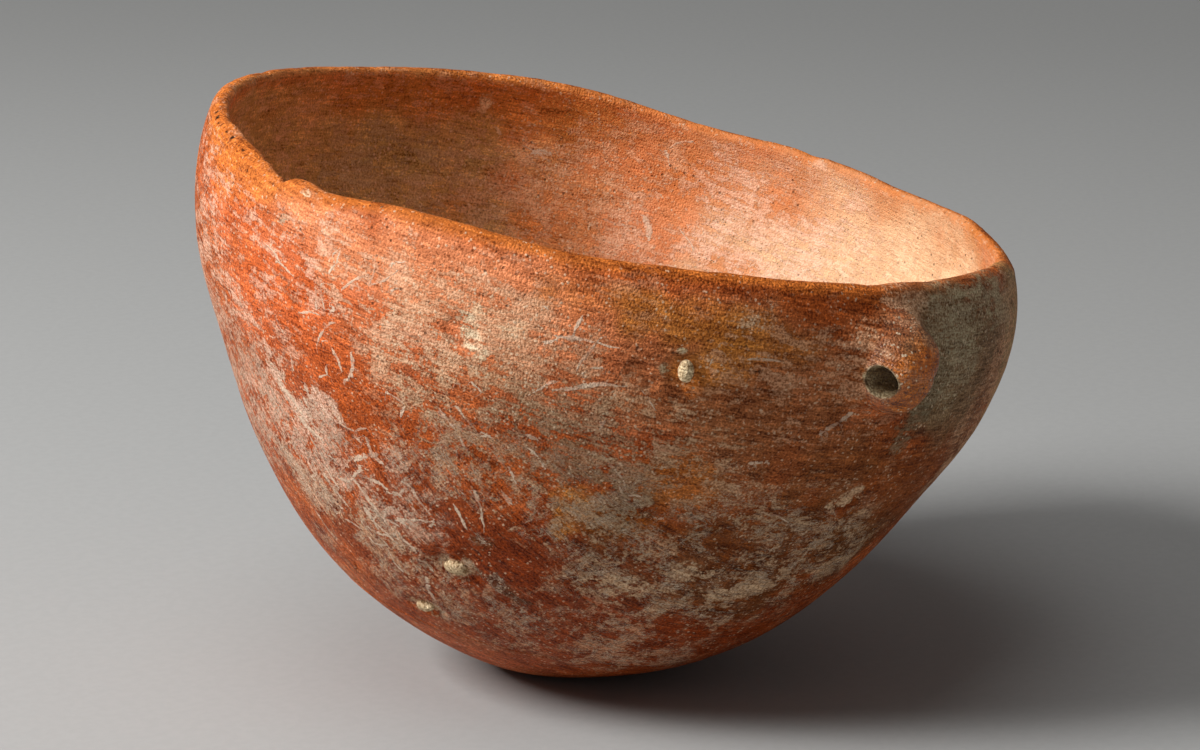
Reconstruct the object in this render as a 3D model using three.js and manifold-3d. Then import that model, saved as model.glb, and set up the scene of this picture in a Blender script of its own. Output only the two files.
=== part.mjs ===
// A hand-built pottery bowl with one pierced lug: a pinched base, four flattened coils, a rim band,
// the lug with the clay worked round its root, and the lime grits that show in the wall.
// Millimetres and degrees, +Z up. The bowl leans as it rests, on the flat worn under its round base.
// The origin is the middle of that flat. The lug is on the -Y side.
import * as THREE from "three";
import { mergeVertices } from "three/addons/utils/BufferGeometryUtils.js";
import Module from "manifold-3d";

// The bowl's outside: its radius at the shoulder, from the bowl's centre, and how much larger the
// radius is at each step of angle up from the bottom
const BOWL_RADIUS = 87;
const PROFILE_STEP = 15;
const PROFILE_SWELL = [15, 11.5, 8, 3.3, 0, 0.5, -0.7, -7.5];
const LOW_SIDE_PULL = 4.2; // how far the low side is drawn in at the shoulder
const LEAN = 14;
const LEAN_AZIMUTH = -40;
const WEAR_DEPTH = 1.2; // how much of the round base is rubbed away where it stands

// The wall's thickness
const BASE_WALL = 8.5;
const SHOULDER_WALL = 5.5;
const LIP_WALL = 4.5;
const SHOULDER_ANGLE = 60; // the wall has thinned to its shoulder thickness here
const LIP_ANGLE = 92; // and to its lip thickness here
const LIP_ROUNDING = 2.4; // height of the rounded top of the lip

// The rim's height over the bowl's centre, at even steps round from the low side
const RIM_HEIGHTS = [9.5, 10.5, 9, 9, 7.5, 9, 7.5, 5, 4.5, 4, 2.5, 0.5, 4.5, 5.5, 8, 9.5, 11, 11.5];

// How the wall was raised: where the base, the coils and the rim band meet
const BASE_ANGLE = 26;
const RIM_BAND_ANGLE = 76;
const COIL_COUNT = 4;
const JOINT_SLANT = 4; // each joint is this much higher inside than outside
const JOINT_GAP = 0.3;

// The lug: a nose-shaped knob with a string hole, keyed into the rim band by a tenon
const LUG_AZIMUTH = -92.5;
const LUG_ANGLE = 87.5; // angle of the knob's highest point
const LUG_WIDTH = 16;
const LUG_ABOVE = 10;
const LUG_BELOW = 10;
const LUG_PROUD = 9.5;
const LUG_EDGE = 0.7; // thickness at the lug's feathered edge
const TENON_DIAMETER = 10;
const STRING_HOLE_DIAMETER = 6.4;
const STRING_HOLE_FROM_WALL = 4.2;
const STRING_HOLE_DROP = 1.5; // the hole's middle lies this far below the knob's highest point

// The clay smeared round the lug's root
const COLLAR_WIDTH = 3.5;
const COLLAR_HEIGHT = 2.6;
const COLLAR_ABOVE = 1.6;
const COLLAR_EDGE = 0.5;

// Lime grits: where each lies, its width, height and thickness, and how deep its middle lies
const GRITS = [
  { name: "lime_grit_shoulder", azimuth: -122, angle: 82.5, size: [3.4, 5, 2.6], depth: 0.7 },
  { name: "lime_grit_belly", azimuth: -149, angle: 42.5, size: [6, 4.2, 2.8], depth: 0.9 },
  { name: "lime_grit_foot", azimuth: -158.5, angle: 31.5, size: [5, 3, 2.6], depth: 0.8 },
];
const GRIT_CLEARANCE = 0.3;

// How finely the round surfaces are cut
const RING_STEPS = 72;
const SIDE_STEPS = 3;
const BASE_STEPS = 5;
const LIP_STEPS = 5;
const LUG_RINGS = 8;
const LUG_STEPS = 36;
const HOLE_STEPS = 20;
const LOWEST_POINT_STEPS = 1200;

const wasm = await Module();
wasm.setup();
const { degToRad, radToDeg, lerp, smoothstep } = THREE.MathUtils;
const cosd = (angle) => Math.cos(degToRad(angle));
const sind = (angle) => Math.sin(degToRad(angle));

// A smooth curve through evenly spaced values (Catmull-Rom)
function through(at, position) {
  const i = Math.floor(position);
  const t = position - i;
  const [a, b, c, d] = [at(i - 1), at(i), at(i + 1), at(i + 2)];
  return b + 0.5 * t * (c - a + t * (2 * a - 5 * b + 4 * c - d + t * (3 * (b - c) + d - a)));
}

// The profile is mirrored below the bottom, and runs on straight past its last value
const profileRadii = PROFILE_SWELL.map((swell) => BOWL_RADIUS + swell);
function profileValue(i) {
  const last = profileRadii.length - 1;
  if (i < 0) return profileRadii[-i];
  if (i > last) return 2 * profileRadii[last] - profileRadii[last - 1];
  return profileRadii[i];
}

function outerRadius(azimuth, angle) {
  const pull = ((LOW_SIDE_PULL * angle) / 90) * cosd(azimuth - LEAN_AZIMUTH);
  return through(profileValue, angle / PROFILE_STEP) - pull;
}

function wallAt(angle) {
  const body = lerp(BASE_WALL, SHOULDER_WALL, smoothstep(angle, 0, SHOULDER_ANGLE));
  return lerp(body, LIP_WALL, smoothstep(angle, SHOULDER_ANGLE, LIP_ANGLE));
}

// A point of the upright bowl, at an azimuth, an angle up from the bottom and a depth below the outside
function upright(azimuth, angle, depth) {
  const radius = outerRadius(azimuth, angle) - depth;
  const out = radius * sind(angle);
  return new THREE.Vector3(out * cosd(azimuth), out * sind(azimuth), -radius * cosd(angle));
}

// The upright bowl is leaned, and set down with its lowest point worn away under the origin
const leanAxis = new THREE.Vector3(-sind(LEAN_AZIMUTH), cosd(LEAN_AZIMUTH), 0);
const leaned = new THREE.Matrix4().makeRotationAxis(leanAxis, degToRad(LEAN));
function lowestPoint() {
  let lowest = upright(LEAN_AZIMUTH, 0, 0).applyMatrix4(leaned);
  for (let i = 1; i <= LOWEST_POINT_STEPS; i++) {
    const angle = (SHOULDER_ANGLE * i) / LOWEST_POINT_STEPS;
    const point = upright(LEAN_AZIMUTH, angle, 0).applyMatrix4(leaned);
    if (point.z < lowest.z) lowest = point;
  }
  return lowest;
}
const lowest = lowestPoint();
const standing = new THREE.Matrix4()
  .makeTranslation(-lowest.x, -lowest.y, -lowest.z - WEAR_DEPTH)
  .multiply(leaned);

function place(azimuth, angle, depth) {
  return upright(azimuth, angle, depth).applyMatrix4(standing);
}

// The angle at which the outside reaches the rim's height
function rimAngle(azimuth) {
  const count = RIM_HEIGHTS.length;
  const turn = ((azimuth - LEAN_AZIMUTH) / 360) * count;
  const height = through((i) => RIM_HEIGHTS[((i % count) + count) % count], turn);
  let angle = 90;
  for (let i = 0; i < 4; i++) angle = radToDeg(Math.acos(-height / outerRadius(azimuth, angle)));
  return angle;
}

// A closed solid from closed rows of points that go round a ring: each row is joined to the next,
// and the last to the first. Points that coincide, as at a pole, are merged.
function rowsToManifold(rows) {
  const length = rows[0].length;
  const flat = rows.flatMap((row) => row.flatMap((point) => point.toArray()));
  const index = [];
  for (let i = 0; i < rows.length; i++) {
    const next = (i + 1) % rows.length;
    for (let j = 0; j < length; j++) {
      const up = (j + 1) % length;
      const corners = [i * length + j, next * length + j, next * length + up, i * length + up];
      index.push(corners[0], corners[1], corners[2], corners[0], corners[2], corners[3]);
    }
  }
  const geometry = new THREE.BufferGeometry();
  geometry.setAttribute("position", new THREE.Float32BufferAttribute(flat, 3));
  geometry.setIndex(index);
  return toManifold(geometry);
}

function toManifold(geometry) {
  const bare = geometry.clone();
  bare.deleteAttribute("normal");
  bare.deleteAttribute("uv");
  const merged = mergeVertices(bare, 1e-4);
  const all = merged.index.array;
  const kept = [];
  for (let i = 0; i < all.length; i += 3) {
    const [a, b, c] = [all[i], all[i + 1], all[i + 2]];
    if (a !== b && b !== c && c !== a) kept.push(a, b, c);
  }
  return new wasm.Manifold(
    new wasm.Mesh({
      numProp: 3,
      vertProperties: merged.attributes.position.array,
      triVerts: new Uint32Array(kept),
    }),
  );
}

const ringAzimuths = Array.from({ length: RING_STEPS }, (_, i) => (360 * i) / RING_STEPS);

// One side of a wall section, as angle and depth pairs from one angle to another
function side(fromAngle, toAngle, inside, steps) {
  return Array.from({ length: steps + 1 }, (_, i) => {
    const angle = lerp(fromAngle, toAngle, i / steps);
    return [angle, inside ? wallAt(angle) : 0];
  });
}

// A joint's angle on the outside and on the inside, with half the gap taken off this side of it
function jointAngles(angle, direction) {
  const perMillimetre = 360 / (2 * Math.PI * outerRadius(LEAN_AZIMUTH + 90, angle));
  const half = (direction * JOINT_GAP * perMillimetre) / 2;
  return { outside: angle + half, inside: angle + half + JOINT_SLANT * perMillimetre };
}

function ringSolid(sectionAt) {
  const rows = ringAzimuths.map((azimuth) =>
    sectionAt(azimuth).map(([angle, depth]) => place(azimuth, angle, depth)),
  );
  return rowsToManifold(rows);
}

function baseSolid() {
  const top = jointAngles(BASE_ANGLE, -1);
  const section = [
    ...side(0, top.outside, false, BASE_STEPS),
    ...side(top.inside, 0, true, BASE_STEPS),
  ];
  return ringSolid(() => section).subtract(belowTable());
}

// Everything under the surface that the bowl stands on
function belowTable() {
  const size = 2 * profileRadii[0];
  const box = new THREE.BoxGeometry(size, size, size).translate(0, 0, -size / 2);
  return toManifold(box);
}

function coilSolid(fromAngle, toAngle) {
  const bottom = jointAngles(fromAngle, 1);
  const top = jointAngles(toAngle, -1);
  const section = [
    ...side(bottom.outside, top.outside, false, SIDE_STEPS),
    ...side(top.inside, bottom.inside, true, SIDE_STEPS),
  ];
  return ringSolid(() => section);
}

// The rim band's top is half an ellipse across the lip
function rimBandSolid() {
  const bottom = jointAngles(RIM_BAND_ANGLE, 1);
  return ringSolid((azimuth) => {
    const top = rimAngle(azimuth);
    const perMillimetre = radToDeg(1 / outerRadius(azimuth, top));
    const start = top - LIP_ROUNDING * perMillimetre;
    const half = wallAt(start) / 2;
    const lip = Array.from({ length: LIP_STEPS }, (_, i) => {
      const turn = (180 * (i + 1)) / (LIP_STEPS + 1);
      return [start + (top - start) * sind(turn), half * (1 - cosd(turn))];
    });
    return [
      ...side(bottom.outside, start, false, SIDE_STEPS),
      ...lip,
      ...side(start, bottom.inside, true, SIDE_STEPS),
    ];
  });
}

// A point over the wall by the lug: along the wall round the bowl, up it, and out from it
function nearLug(along, up, out) {
  const radius = outerRadius(LUG_AZIMUTH, LUG_ANGLE);
  const angle = LUG_ANGLE + radToDeg(up / radius);
  return place(LUG_AZIMUTH + radToDeg(along / (radius * sind(angle))), angle, -out);
}

// A mound of clay on the wall: an oval that reaches above and below its peak, whose height is a
// function of the share of the way out to its edge and of the direction
function moundSolid({ halfWidth, above, below, back, heightAt, rings }) {
  const point = (share, turn, out) => {
    const reach = sind(turn) > 0 ? above : below;
    return nearLug(share * halfWidth * cosd(turn), share * reach * sind(turn), out);
  };
  const rows = Array.from({ length: LUG_STEPS }, (_, i) => {
    const turn = (360 * i) / LUG_STEPS;
    const shares = Array.from({ length: rings + 1 }, (_, j) => j / rings);
    const underside = shares.map((share) => point(share, turn, back));
    const front = shares.map((share) => point(share, turn, heightAt(share, turn))).reverse();
    return [...underside, ...front];
  });
  return rowsToManifold(rows);
}

// The lug's height: domed below and at its sides, with a ridge that runs up towards the rim
function lugHeight(share, turn) {
  const upward = Math.max(0, sind(turn)) ** 2;
  const dome = (1 - share ** lerp(2.4, 1.5, upward)) ** lerp(0.5, 0.9, upward);
  return LUG_EDGE + (LUG_PROUD - LUG_EDGE) * dome;
}

function lugShape(clearance, back) {
  return moundSolid({
    halfWidth: LUG_WIDTH / 2 + clearance,
    above: LUG_ABOVE + clearance,
    below: LUG_BELOW + clearance,
    back,
    heightAt: (share, turn) => lugHeight(share, turn) + clearance,
    rings: LUG_RINGS,
  });
}

// A round peg along the wall's outward direction at the lug, from one depth to another
function pegSolid(diameter, fromOut, toOut) {
  const [start, end] = [nearLug(0, 0, fromOut), nearLug(0, 0, toOut)];
  return rodSolid(diameter, start, end);
}

function rodSolid(diameter, start, end) {
  const along = end.clone().sub(start);
  const rod = new THREE.CylinderGeometry(diameter / 2, diameter / 2, along.length(), HOLE_STEPS);
  const turn = new THREE.Quaternion().setFromUnitVectors(
    new THREE.Vector3(0, 1, 0),
    along.clone().normalize(),
  );
  rod.applyQuaternion(turn);
  const middle = start.clone().add(end).multiplyScalar(0.5);
  rod.translate(middle.x, middle.y, middle.z);
  return toManifold(rod);
}

// The string hole runs level, along X, and comes out past the collar on both sides
function stringHole() {
  const middle = nearLug(0, -STRING_HOLE_DROP, STRING_HOLE_FROM_WALL);
  const half = LUG_WIDTH / 2 + COLLAR_WIDTH + STRING_HOLE_DIAMETER / 2;
  const reach = new THREE.Vector3(half, 0, 0);
  return rodSolid(STRING_HOLE_DIAMETER, middle.clone().sub(reach), middle.clone().add(reach));
}

function lugSolid() {
  const tenonEnd = -wallAt(LUG_ANGLE) + JOINT_GAP;
  const tenon = pegSolid(TENON_DIAMETER, JOINT_GAP + LUG_EDGE / 2, tenonEnd);
  return lugShape(0, JOINT_GAP).add(tenon).subtract(stringHole());
}

function collarSolid() {
  const whole = moundSolid({
    halfWidth: LUG_WIDTH / 2 + COLLAR_WIDTH,
    above: LUG_ABOVE + COLLAR_ABOVE,
    below: LUG_BELOW + COLLAR_WIDTH,
    back: JOINT_GAP,
    heightAt: (share) => COLLAR_EDGE + JOINT_GAP + COLLAR_HEIGHT * (1 - share ** 2),
    rings: LUG_RINGS / 2,
  });
  return whole.subtract(lugShape(JOINT_GAP, -LUG_EDGE)).subtract(stringHole());
}

// A grit, or with a clearance the pocket that it sits in
function gritSolid({ azimuth, angle, size, depth }, clearance) {
  const stone = new THREE.IcosahedronGeometry(1, 1);
  stone.scale(...size.map((length) => length / 2 + clearance));
  const middle = place(azimuth, angle, depth);
  const out = place(azimuth, angle, 0).sub(middle).normalize();
  const around = new THREE.Vector3(0, 0, 1).cross(out).normalize();
  const up = out.clone().cross(around);
  stone.applyMatrix4(new THREE.Matrix4().makeBasis(around, up, out).setPosition(middle));
  return toManifold(stone);
}

function toMesh(name, solid, material) {
  const { vertProperties, triVerts } = solid.getMesh();
  const geometry = new THREE.BufferGeometry();
  geometry.setAttribute("position", new THREE.BufferAttribute(vertProperties, 3));
  geometry.setIndex(new THREE.BufferAttribute(triVerts, 1));
  geometry.computeVertexNormals();
  const mesh = new THREE.Mesh(geometry, material);
  mesh.name = name;
  return mesh;
}

function clay(name, color, roughness) {
  const material = new THREE.MeshStandardMaterial({ color, roughness, metalness: 0 });
  material.name = name;
  return material;
}
const redSlip = clay("red_slip", 0xa4532c, 0.55);
const orangeLip = clay("orange_lip", 0xb8672f, 0.5);
const burntLug = clay("burnt_lug", 0x8a4a26, 0.5);
const lime = clay("lime", 0xd8c29a, 0.85);

const group = new THREE.Group();
const pockets = GRITS.map((grit) => gritSolid(grit, GRIT_CLEARANCE));
const withPockets = (solid) => pockets.reduce((wall, pocket) => wall.subtract(pocket), solid);

group.add(toMesh("base_bowl", withPockets(baseSolid()), redSlip));
const coilAngle = (RIM_BAND_ANGLE - BASE_ANGLE) / COIL_COUNT;
for (let i = 0; i < COIL_COUNT; i++) {
  const from = BASE_ANGLE + i * coilAngle;
  const coil = withPockets(coilSolid(from, from + coilAngle));
  group.add(toMesh(`wall_coil_${i + 1}`, coil, redSlip));
}
const tenonHole = pegSolid(TENON_DIAMETER + 2 * JOINT_GAP, BASE_WALL, -BASE_WALL);
const rimBand = withPockets(rimBandSolid()).subtract(tenonHole);
group.add(toMesh("rim_band", rimBand, orangeLip));
group.add(toMesh("lug", lugSolid(), burntLug));
group.add(toMesh("lug_collar", collarSolid(), redSlip));
for (const grit of GRITS) group.add(toMesh(grit.name, gritSolid(grit, 0), lime));

export default group;
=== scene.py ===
"""A hand-built pottery bowl with one pierced lug, in red slip under pale dust, root marks and smoke.

The form is worked out in millimetres and degrees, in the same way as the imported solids: a radius that
changes with the angle up from the bottom, drawn in on the low side, leaned, and set down on its worn
flat. Each piece is a dense numpy surface over that form, pressed in by pits, strokes and nicks. One
painter lays the fired and weathered colours on every piece from where its points lie on the bowl.
"""
import logging
import math
from dataclasses import dataclass, field
from enum import Enum

import bpy
import numpy as np
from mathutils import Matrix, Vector


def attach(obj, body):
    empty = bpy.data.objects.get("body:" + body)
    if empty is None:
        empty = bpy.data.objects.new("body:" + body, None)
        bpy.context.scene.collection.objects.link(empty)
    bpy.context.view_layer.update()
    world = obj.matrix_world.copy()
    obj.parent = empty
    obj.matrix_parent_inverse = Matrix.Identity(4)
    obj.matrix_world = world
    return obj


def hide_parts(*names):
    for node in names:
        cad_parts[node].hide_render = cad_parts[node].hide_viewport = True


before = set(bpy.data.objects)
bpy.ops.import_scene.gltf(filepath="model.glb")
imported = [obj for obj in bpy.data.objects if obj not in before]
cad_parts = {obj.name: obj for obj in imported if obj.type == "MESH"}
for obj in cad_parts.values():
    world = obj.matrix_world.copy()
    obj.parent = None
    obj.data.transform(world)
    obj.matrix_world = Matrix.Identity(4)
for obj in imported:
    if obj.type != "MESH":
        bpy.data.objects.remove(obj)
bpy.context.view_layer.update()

Array = np.ndarray
MILLIMETRE = 0.001
FULL_TURN = 360.0
log = logging.getLogger("bowl")


def smoothstep(low: float, high: float, value: Array) -> Array:
    """A soft step: 0 below low, 1 above high, and 3t^2 - 2t^3 between.

    Args:
        low: where the step starts.
        high: where it ends.
        value: the values to step.

    Returns:
        The stepped values, from 0 to 1.
    """
    t = np.clip((value - low) / (high - low), 0.0, 1.0)
    return t * t * (3.0 - 2.0 * t)


def mix(a: Array, b: Array, share: Array) -> Array:
    """The value that lies the given share of the way from a to b."""
    return a + (b - a) * share


def wrapped(azimuth: Array) -> Array:
    """An azimuth difference brought into -180 to 180 degrees."""
    return (azimuth + FULL_TURN / 2) % FULL_TURN - FULL_TURN / 2


class Tone(Enum):
    """The clay's and slip's colours, as sRGB hex."""

    BRICK = "bc5c26"
    DEEP_RED = "9a430e"
    RED_ORANGE = "da642c"
    ORANGE = "df7a32"
    SALMON = "ea9060"
    OCHRE = "c87a30"
    AMBER = "b8621a"
    HONEY = "c2742e"
    RUST = "b24e1a"
    UMBER = "66390f"
    DUST = "e4be96"
    ROSE_DUST = "e2ac84"
    PINK_LIME = "f2c6aa"
    CREAM = "f2dcb6"
    ASH = "a08e72"
    SMOKE = "7f7056"
    SIENNA = "9c5a30"
    COCOA = "ccaa6c"
    GINGER = "c86c2a"
    # The soot spots' colour; a third of it is also the painted shade in the lip's cracks.
    SOOT_AND_CRACK_SHADE = "33261b"
    TAN = "d89450"
    SHELL = "f8ca9c"
    SAGE = "b4a484"
    SAND = "c8b48e"
    EARTH = "8c7250"
    OXBLOOD = "86320c"
    STONE = "d2ba92"

    def linear(self) -> Array:
        """The colour as linear red, green and blue.

        Returns:
            Three shares: the sRGB curve undone, straight near black and a power above.
        """
        coded = np.array([int(self.value[i : i + 2], 16) / 255 for i in (0, 2, 4)])
        low = coded / 12.92
        high = ((coded + 0.055) / 1.055) ** 2.4
        return np.where(coded <= 0.04045, low, high)


@dataclass(frozen=True)
class Speckle:
    """Smooth noise in space: random numbers on a lattice, blended between with a soft step."""

    seed: int
    lattice: int = 48

    def at(self, points: Array, wavelength: float | Array, octaves: int = 1) -> Array:
        """The noise at points: the sum of its octaves, each of half the wavelength and half the height.

        Args:
            points: positions, in millimetres, with x, y and z last.
            wavelength: the lattice spacing, in millimetres, one for all axes or one for each.
            octaves: how many layers are added.

        Returns:
            Values from about -1 to 1.
        """
        random = np.random.default_rng(self.seed)
        total = np.zeros(points.shape[:-1])
        weight, reach = 1.0, 0.0
        spacing = np.asarray(wavelength, float)
        for _ in range(octaves):
            values = random.uniform(-1, 1, (self.lattice,) * 3)
            turn = np.linalg.qr(random.normal(size=(3, 3)))[0] if spacing.ndim == 0 else np.eye(3)
            total += weight * self._blend(values, points @ turn.T / spacing + random.uniform(0, 40, 3))
            reach += weight
            weight, spacing = weight / 2, spacing / 2
        return total / reach * 1.35

    def _blend(self, values: Array, at: Array) -> Array:
        """The lattice values round each point, weighted by soft steps along the three axes.

        Args:
            values: the lattice of random numbers, which repeats.
            at: positions in lattice steps.

        Returns:
            One blended value for each position.
        """
        low = np.floor(at).astype(int)
        t = at - low
        t = t * t * (3 - 2 * t)
        low %= self.lattice
        high = (low + 1) % self.lattice
        i, j, k = (low[..., axis] for axis in range(3))
        p, q, r = (high[..., axis] for axis in range(3))
        u, v, w = (t[..., axis] for axis in range(3))
        near = mix(mix(values[i, j, k], values[p, j, k], u), mix(values[i, q, k], values[p, q, k], u), v)
        far = mix(mix(values[i, j, r], values[p, j, r], u), mix(values[i, q, r], values[p, q, r], u), v)
        return mix(near, far, w)


@dataclass(frozen=True)
class BowlForm:
    """The bowl's shape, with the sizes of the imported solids, in millimetres and degrees."""

    bowl_radius: float = 87
    profile_step: float = 15
    profile_swell: tuple[float, ...] = (15, 11.5, 8, 3.3, 0, 0.5, -0.7, -7.5)
    low_side_pull: float = 4.2
    lean: float = 14
    lean_azimuth: float = -40
    wear_depth: float = 1.2
    base_wall: float = 8.5
    shoulder_wall: float = 5.5
    lip_wall: float = 4.5
    shoulder_angle: float = 60
    lip_angle: float = 92
    lip_rounding: float = 2.4
    rim_heights: tuple[float, ...] = (
        9.5, 10.5, 9, 9, 7.5, 9, 7.5, 5, 4.5, 4, 2.5, 0.5, 4.5, 5.5, 8, 9.5, 11, 11.5,
    )
    base_angle: float = 26
    rim_band_angle: float = 76
    coil_count: int = 4
    joint_slant: float = 4

    @staticmethod
    def _through(values: Array, position: Array) -> Array:
        """A smooth Catmull-Rom curve through evenly spaced values, two of which lie past each end.

        Args:
            values: the values, with two more at each end than the positions reach.
            position: where to read the curve, counted from the third value.

        Returns:
            The curve's value at each position.
        """
        step = np.floor(position).astype(int)
        t = position - step
        a, b, c, d = (values[step + offset] for offset in (1, 2, 3, 4))
        return b + 0.5 * t * (c - a + t * (2 * a - 5 * b + 4 * c - d + t * (3 * (b - c) + d - a)))

    def outer_radius(self, azimuth: Array, angle: Array) -> Array:
        """The outside's distance from the bowl's centre: the profile, less the low side's pull.

        Args:
            azimuth: degrees round the bowl.
            angle: degrees up from the bottom.

        Returns:
            Millimetres from the centre.
        """
        radii = self.bowl_radius + np.array(self.profile_swell)
        past = 2 * radii[-1] - radii[-2]
        padded = np.concatenate([radii[2:0:-1], radii, [past, past, past]])
        pull = self.low_side_pull * angle / 90 * np.cos(np.radians(azimuth - self.lean_azimuth))
        return self._through(padded, angle / self.profile_step) - pull

    def wall(self, angle: Array) -> Array:
        """The wall's thickness, which thins from the base to the shoulder and from there to the lip."""
        body = mix(self.base_wall, self.shoulder_wall, smoothstep(0, self.shoulder_angle, angle))
        return mix(body, self.lip_wall, smoothstep(self.shoulder_angle, self.lip_angle, angle))

    def upright(self, azimuth: Array, angle: Array, depth: Array) -> Array:
        """A point of the upright bowl: a distance from its centre, in a direction.

        Args:
            azimuth: degrees round the bowl.
            angle: degrees up from the bottom, seen from the centre.
            depth: millimetres below the outside.

        Returns:
            The position from the bowl's centre, in millimetres.
        """
        radius = self.outer_radius(azimuth, angle) - depth
        round_, up = np.radians(azimuth), np.radians(angle)
        out = radius * np.sin(up)
        return np.stack([out * np.cos(round_), out * np.sin(round_), -radius * np.cos(up)], -1)

    def _lean_matrix(self) -> Array:
        """The rotation that leans the bowl about a level axis, towards its low side.

        Returns:
            A matrix of three by three, by the formula for a turn about an axis.
        """
        a = math.radians(self.lean_azimuth)
        x, y = -math.sin(a), math.cos(a)
        cross = np.array([[0, 0, y], [0, 0, -x], [-y, x, 0]])
        t = math.radians(self.lean)
        return np.eye(3) + math.sin(t) * cross + (1 - math.cos(t)) * cross @ cross

    def centre(self) -> Array:
        """The bowl's centre as it stands: straight up from the lowest point, less what is worn away.

        Returns:
            The position in millimetres.
        """
        angles = np.linspace(0, self.shoulder_angle, 1201)
        side = self.upright(np.full_like(angles, self.lean_azimuth), angles, 0.0) @ self._lean_matrix().T
        return -side[side[:, 2].argmin()] - np.array([0, 0, self.wear_depth])

    def stand(self, upright: Array) -> Array:
        """Upright positions leaned and set down on the worn flat."""
        return upright @ self._lean_matrix().T + self.centre()

    def place(self, azimuth: Array, angle: Array, depth: Array) -> Array:
        """A standing point at an azimuth, an angle up from the bottom and a depth below the outside."""
        return self.stand(self.upright(azimuth, angle, depth))

    def locate(self, standing: Array) -> tuple[Array, Array, Array]:
        """The way back from a standing point to its place on the bowl.

        Args:
            standing: positions in millimetres.

        Returns:
            The azimuth, the angle up from the bottom, and the depth below the outside.
        """
        upright = (standing - self.centre()) @ self._lean_matrix()
        x, y, z = upright[..., 0], upright[..., 1], upright[..., 2]
        azimuth = np.degrees(np.arctan2(y, x))
        angle = np.degrees(np.arctan2(np.hypot(x, y), -z))
        return azimuth, angle, self.outer_radius(azimuth, angle) - np.linalg.norm(upright, axis=-1)

    def rim_angle(self, azimuth: Array) -> Array:
        """The angle at which the outside reaches the rim's wavy height over the centre.

        Args:
            azimuth: degrees round the bowl.

        Returns:
            Degrees up from the bottom, found by repeating the step from height to angle.
        """
        heights = np.array(self.rim_heights)
        count = len(heights)
        turn = ((azimuth - self.lean_azimuth) / FULL_TURN * count) % count
        height = self._through(np.concatenate([heights[-2:], heights, heights[:3]]), turn)
        angle = np.full_like(azimuth, 90.0)
        for _ in range(4):
            angle = np.degrees(np.arccos(-height / self.outer_radius(azimuth, angle)))
        return angle

    def joint(self, angle: float) -> tuple[float, float]:
        """A joint's angle on the outside and, higher by its slant, on the inside."""
        around = self.outer_radius(np.array(self.lean_azimuth + 90.0), np.array(angle))
        return angle, angle + float(np.degrees(self.joint_slant / around))


FORM = BowlForm()


@dataclass(frozen=True)
class Dent:
    """A place where the surface is pressed or flaked in, or stands proud where its depth is negative."""

    azimuth: float
    angle: float
    width: float
    height: float
    depth: float
    turn: float = 0.0
    crisp: float = 0.3


@dataclass(frozen=True)
class LipBite:
    """A nick in the lip, or a bump where its depth is negative: a soft hill along the lip."""

    azimuth: float
    width: float
    depth: float


def surface_offsets(azimuth: Array, angle: Array, at_azimuth: float, at_angle: float) -> tuple[Array, Array]:
    """How far places on the bowl lie from one of them, along the wall.

    Args:
        azimuth: the places' azimuths.
        angle: their angles up from the bottom.
        at_azimuth: the azimuth of the place to measure from.
        at_angle: its angle.

    Returns:
        Millimetres round the bowl, anticlockwise from above, and millimetres up it.
    """
    radius = FORM.bowl_radius
    along = np.radians(wrapped(azimuth - at_azimuth)) * radius * math.sin(math.radians(at_angle))
    return along, np.radians(angle - at_angle) * radius


def oval_distance(along: Array, up: Array, width: float, height: float, turn: float) -> Array:
    """Distance from the middle of a turned oval, in shares of the way to its edge."""
    c, s = math.cos(math.radians(turn)), math.sin(math.radians(turn))
    return np.hypot((along * c + up * s) / (width / 2), (up * c - along * s) / (height / 2))


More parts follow.
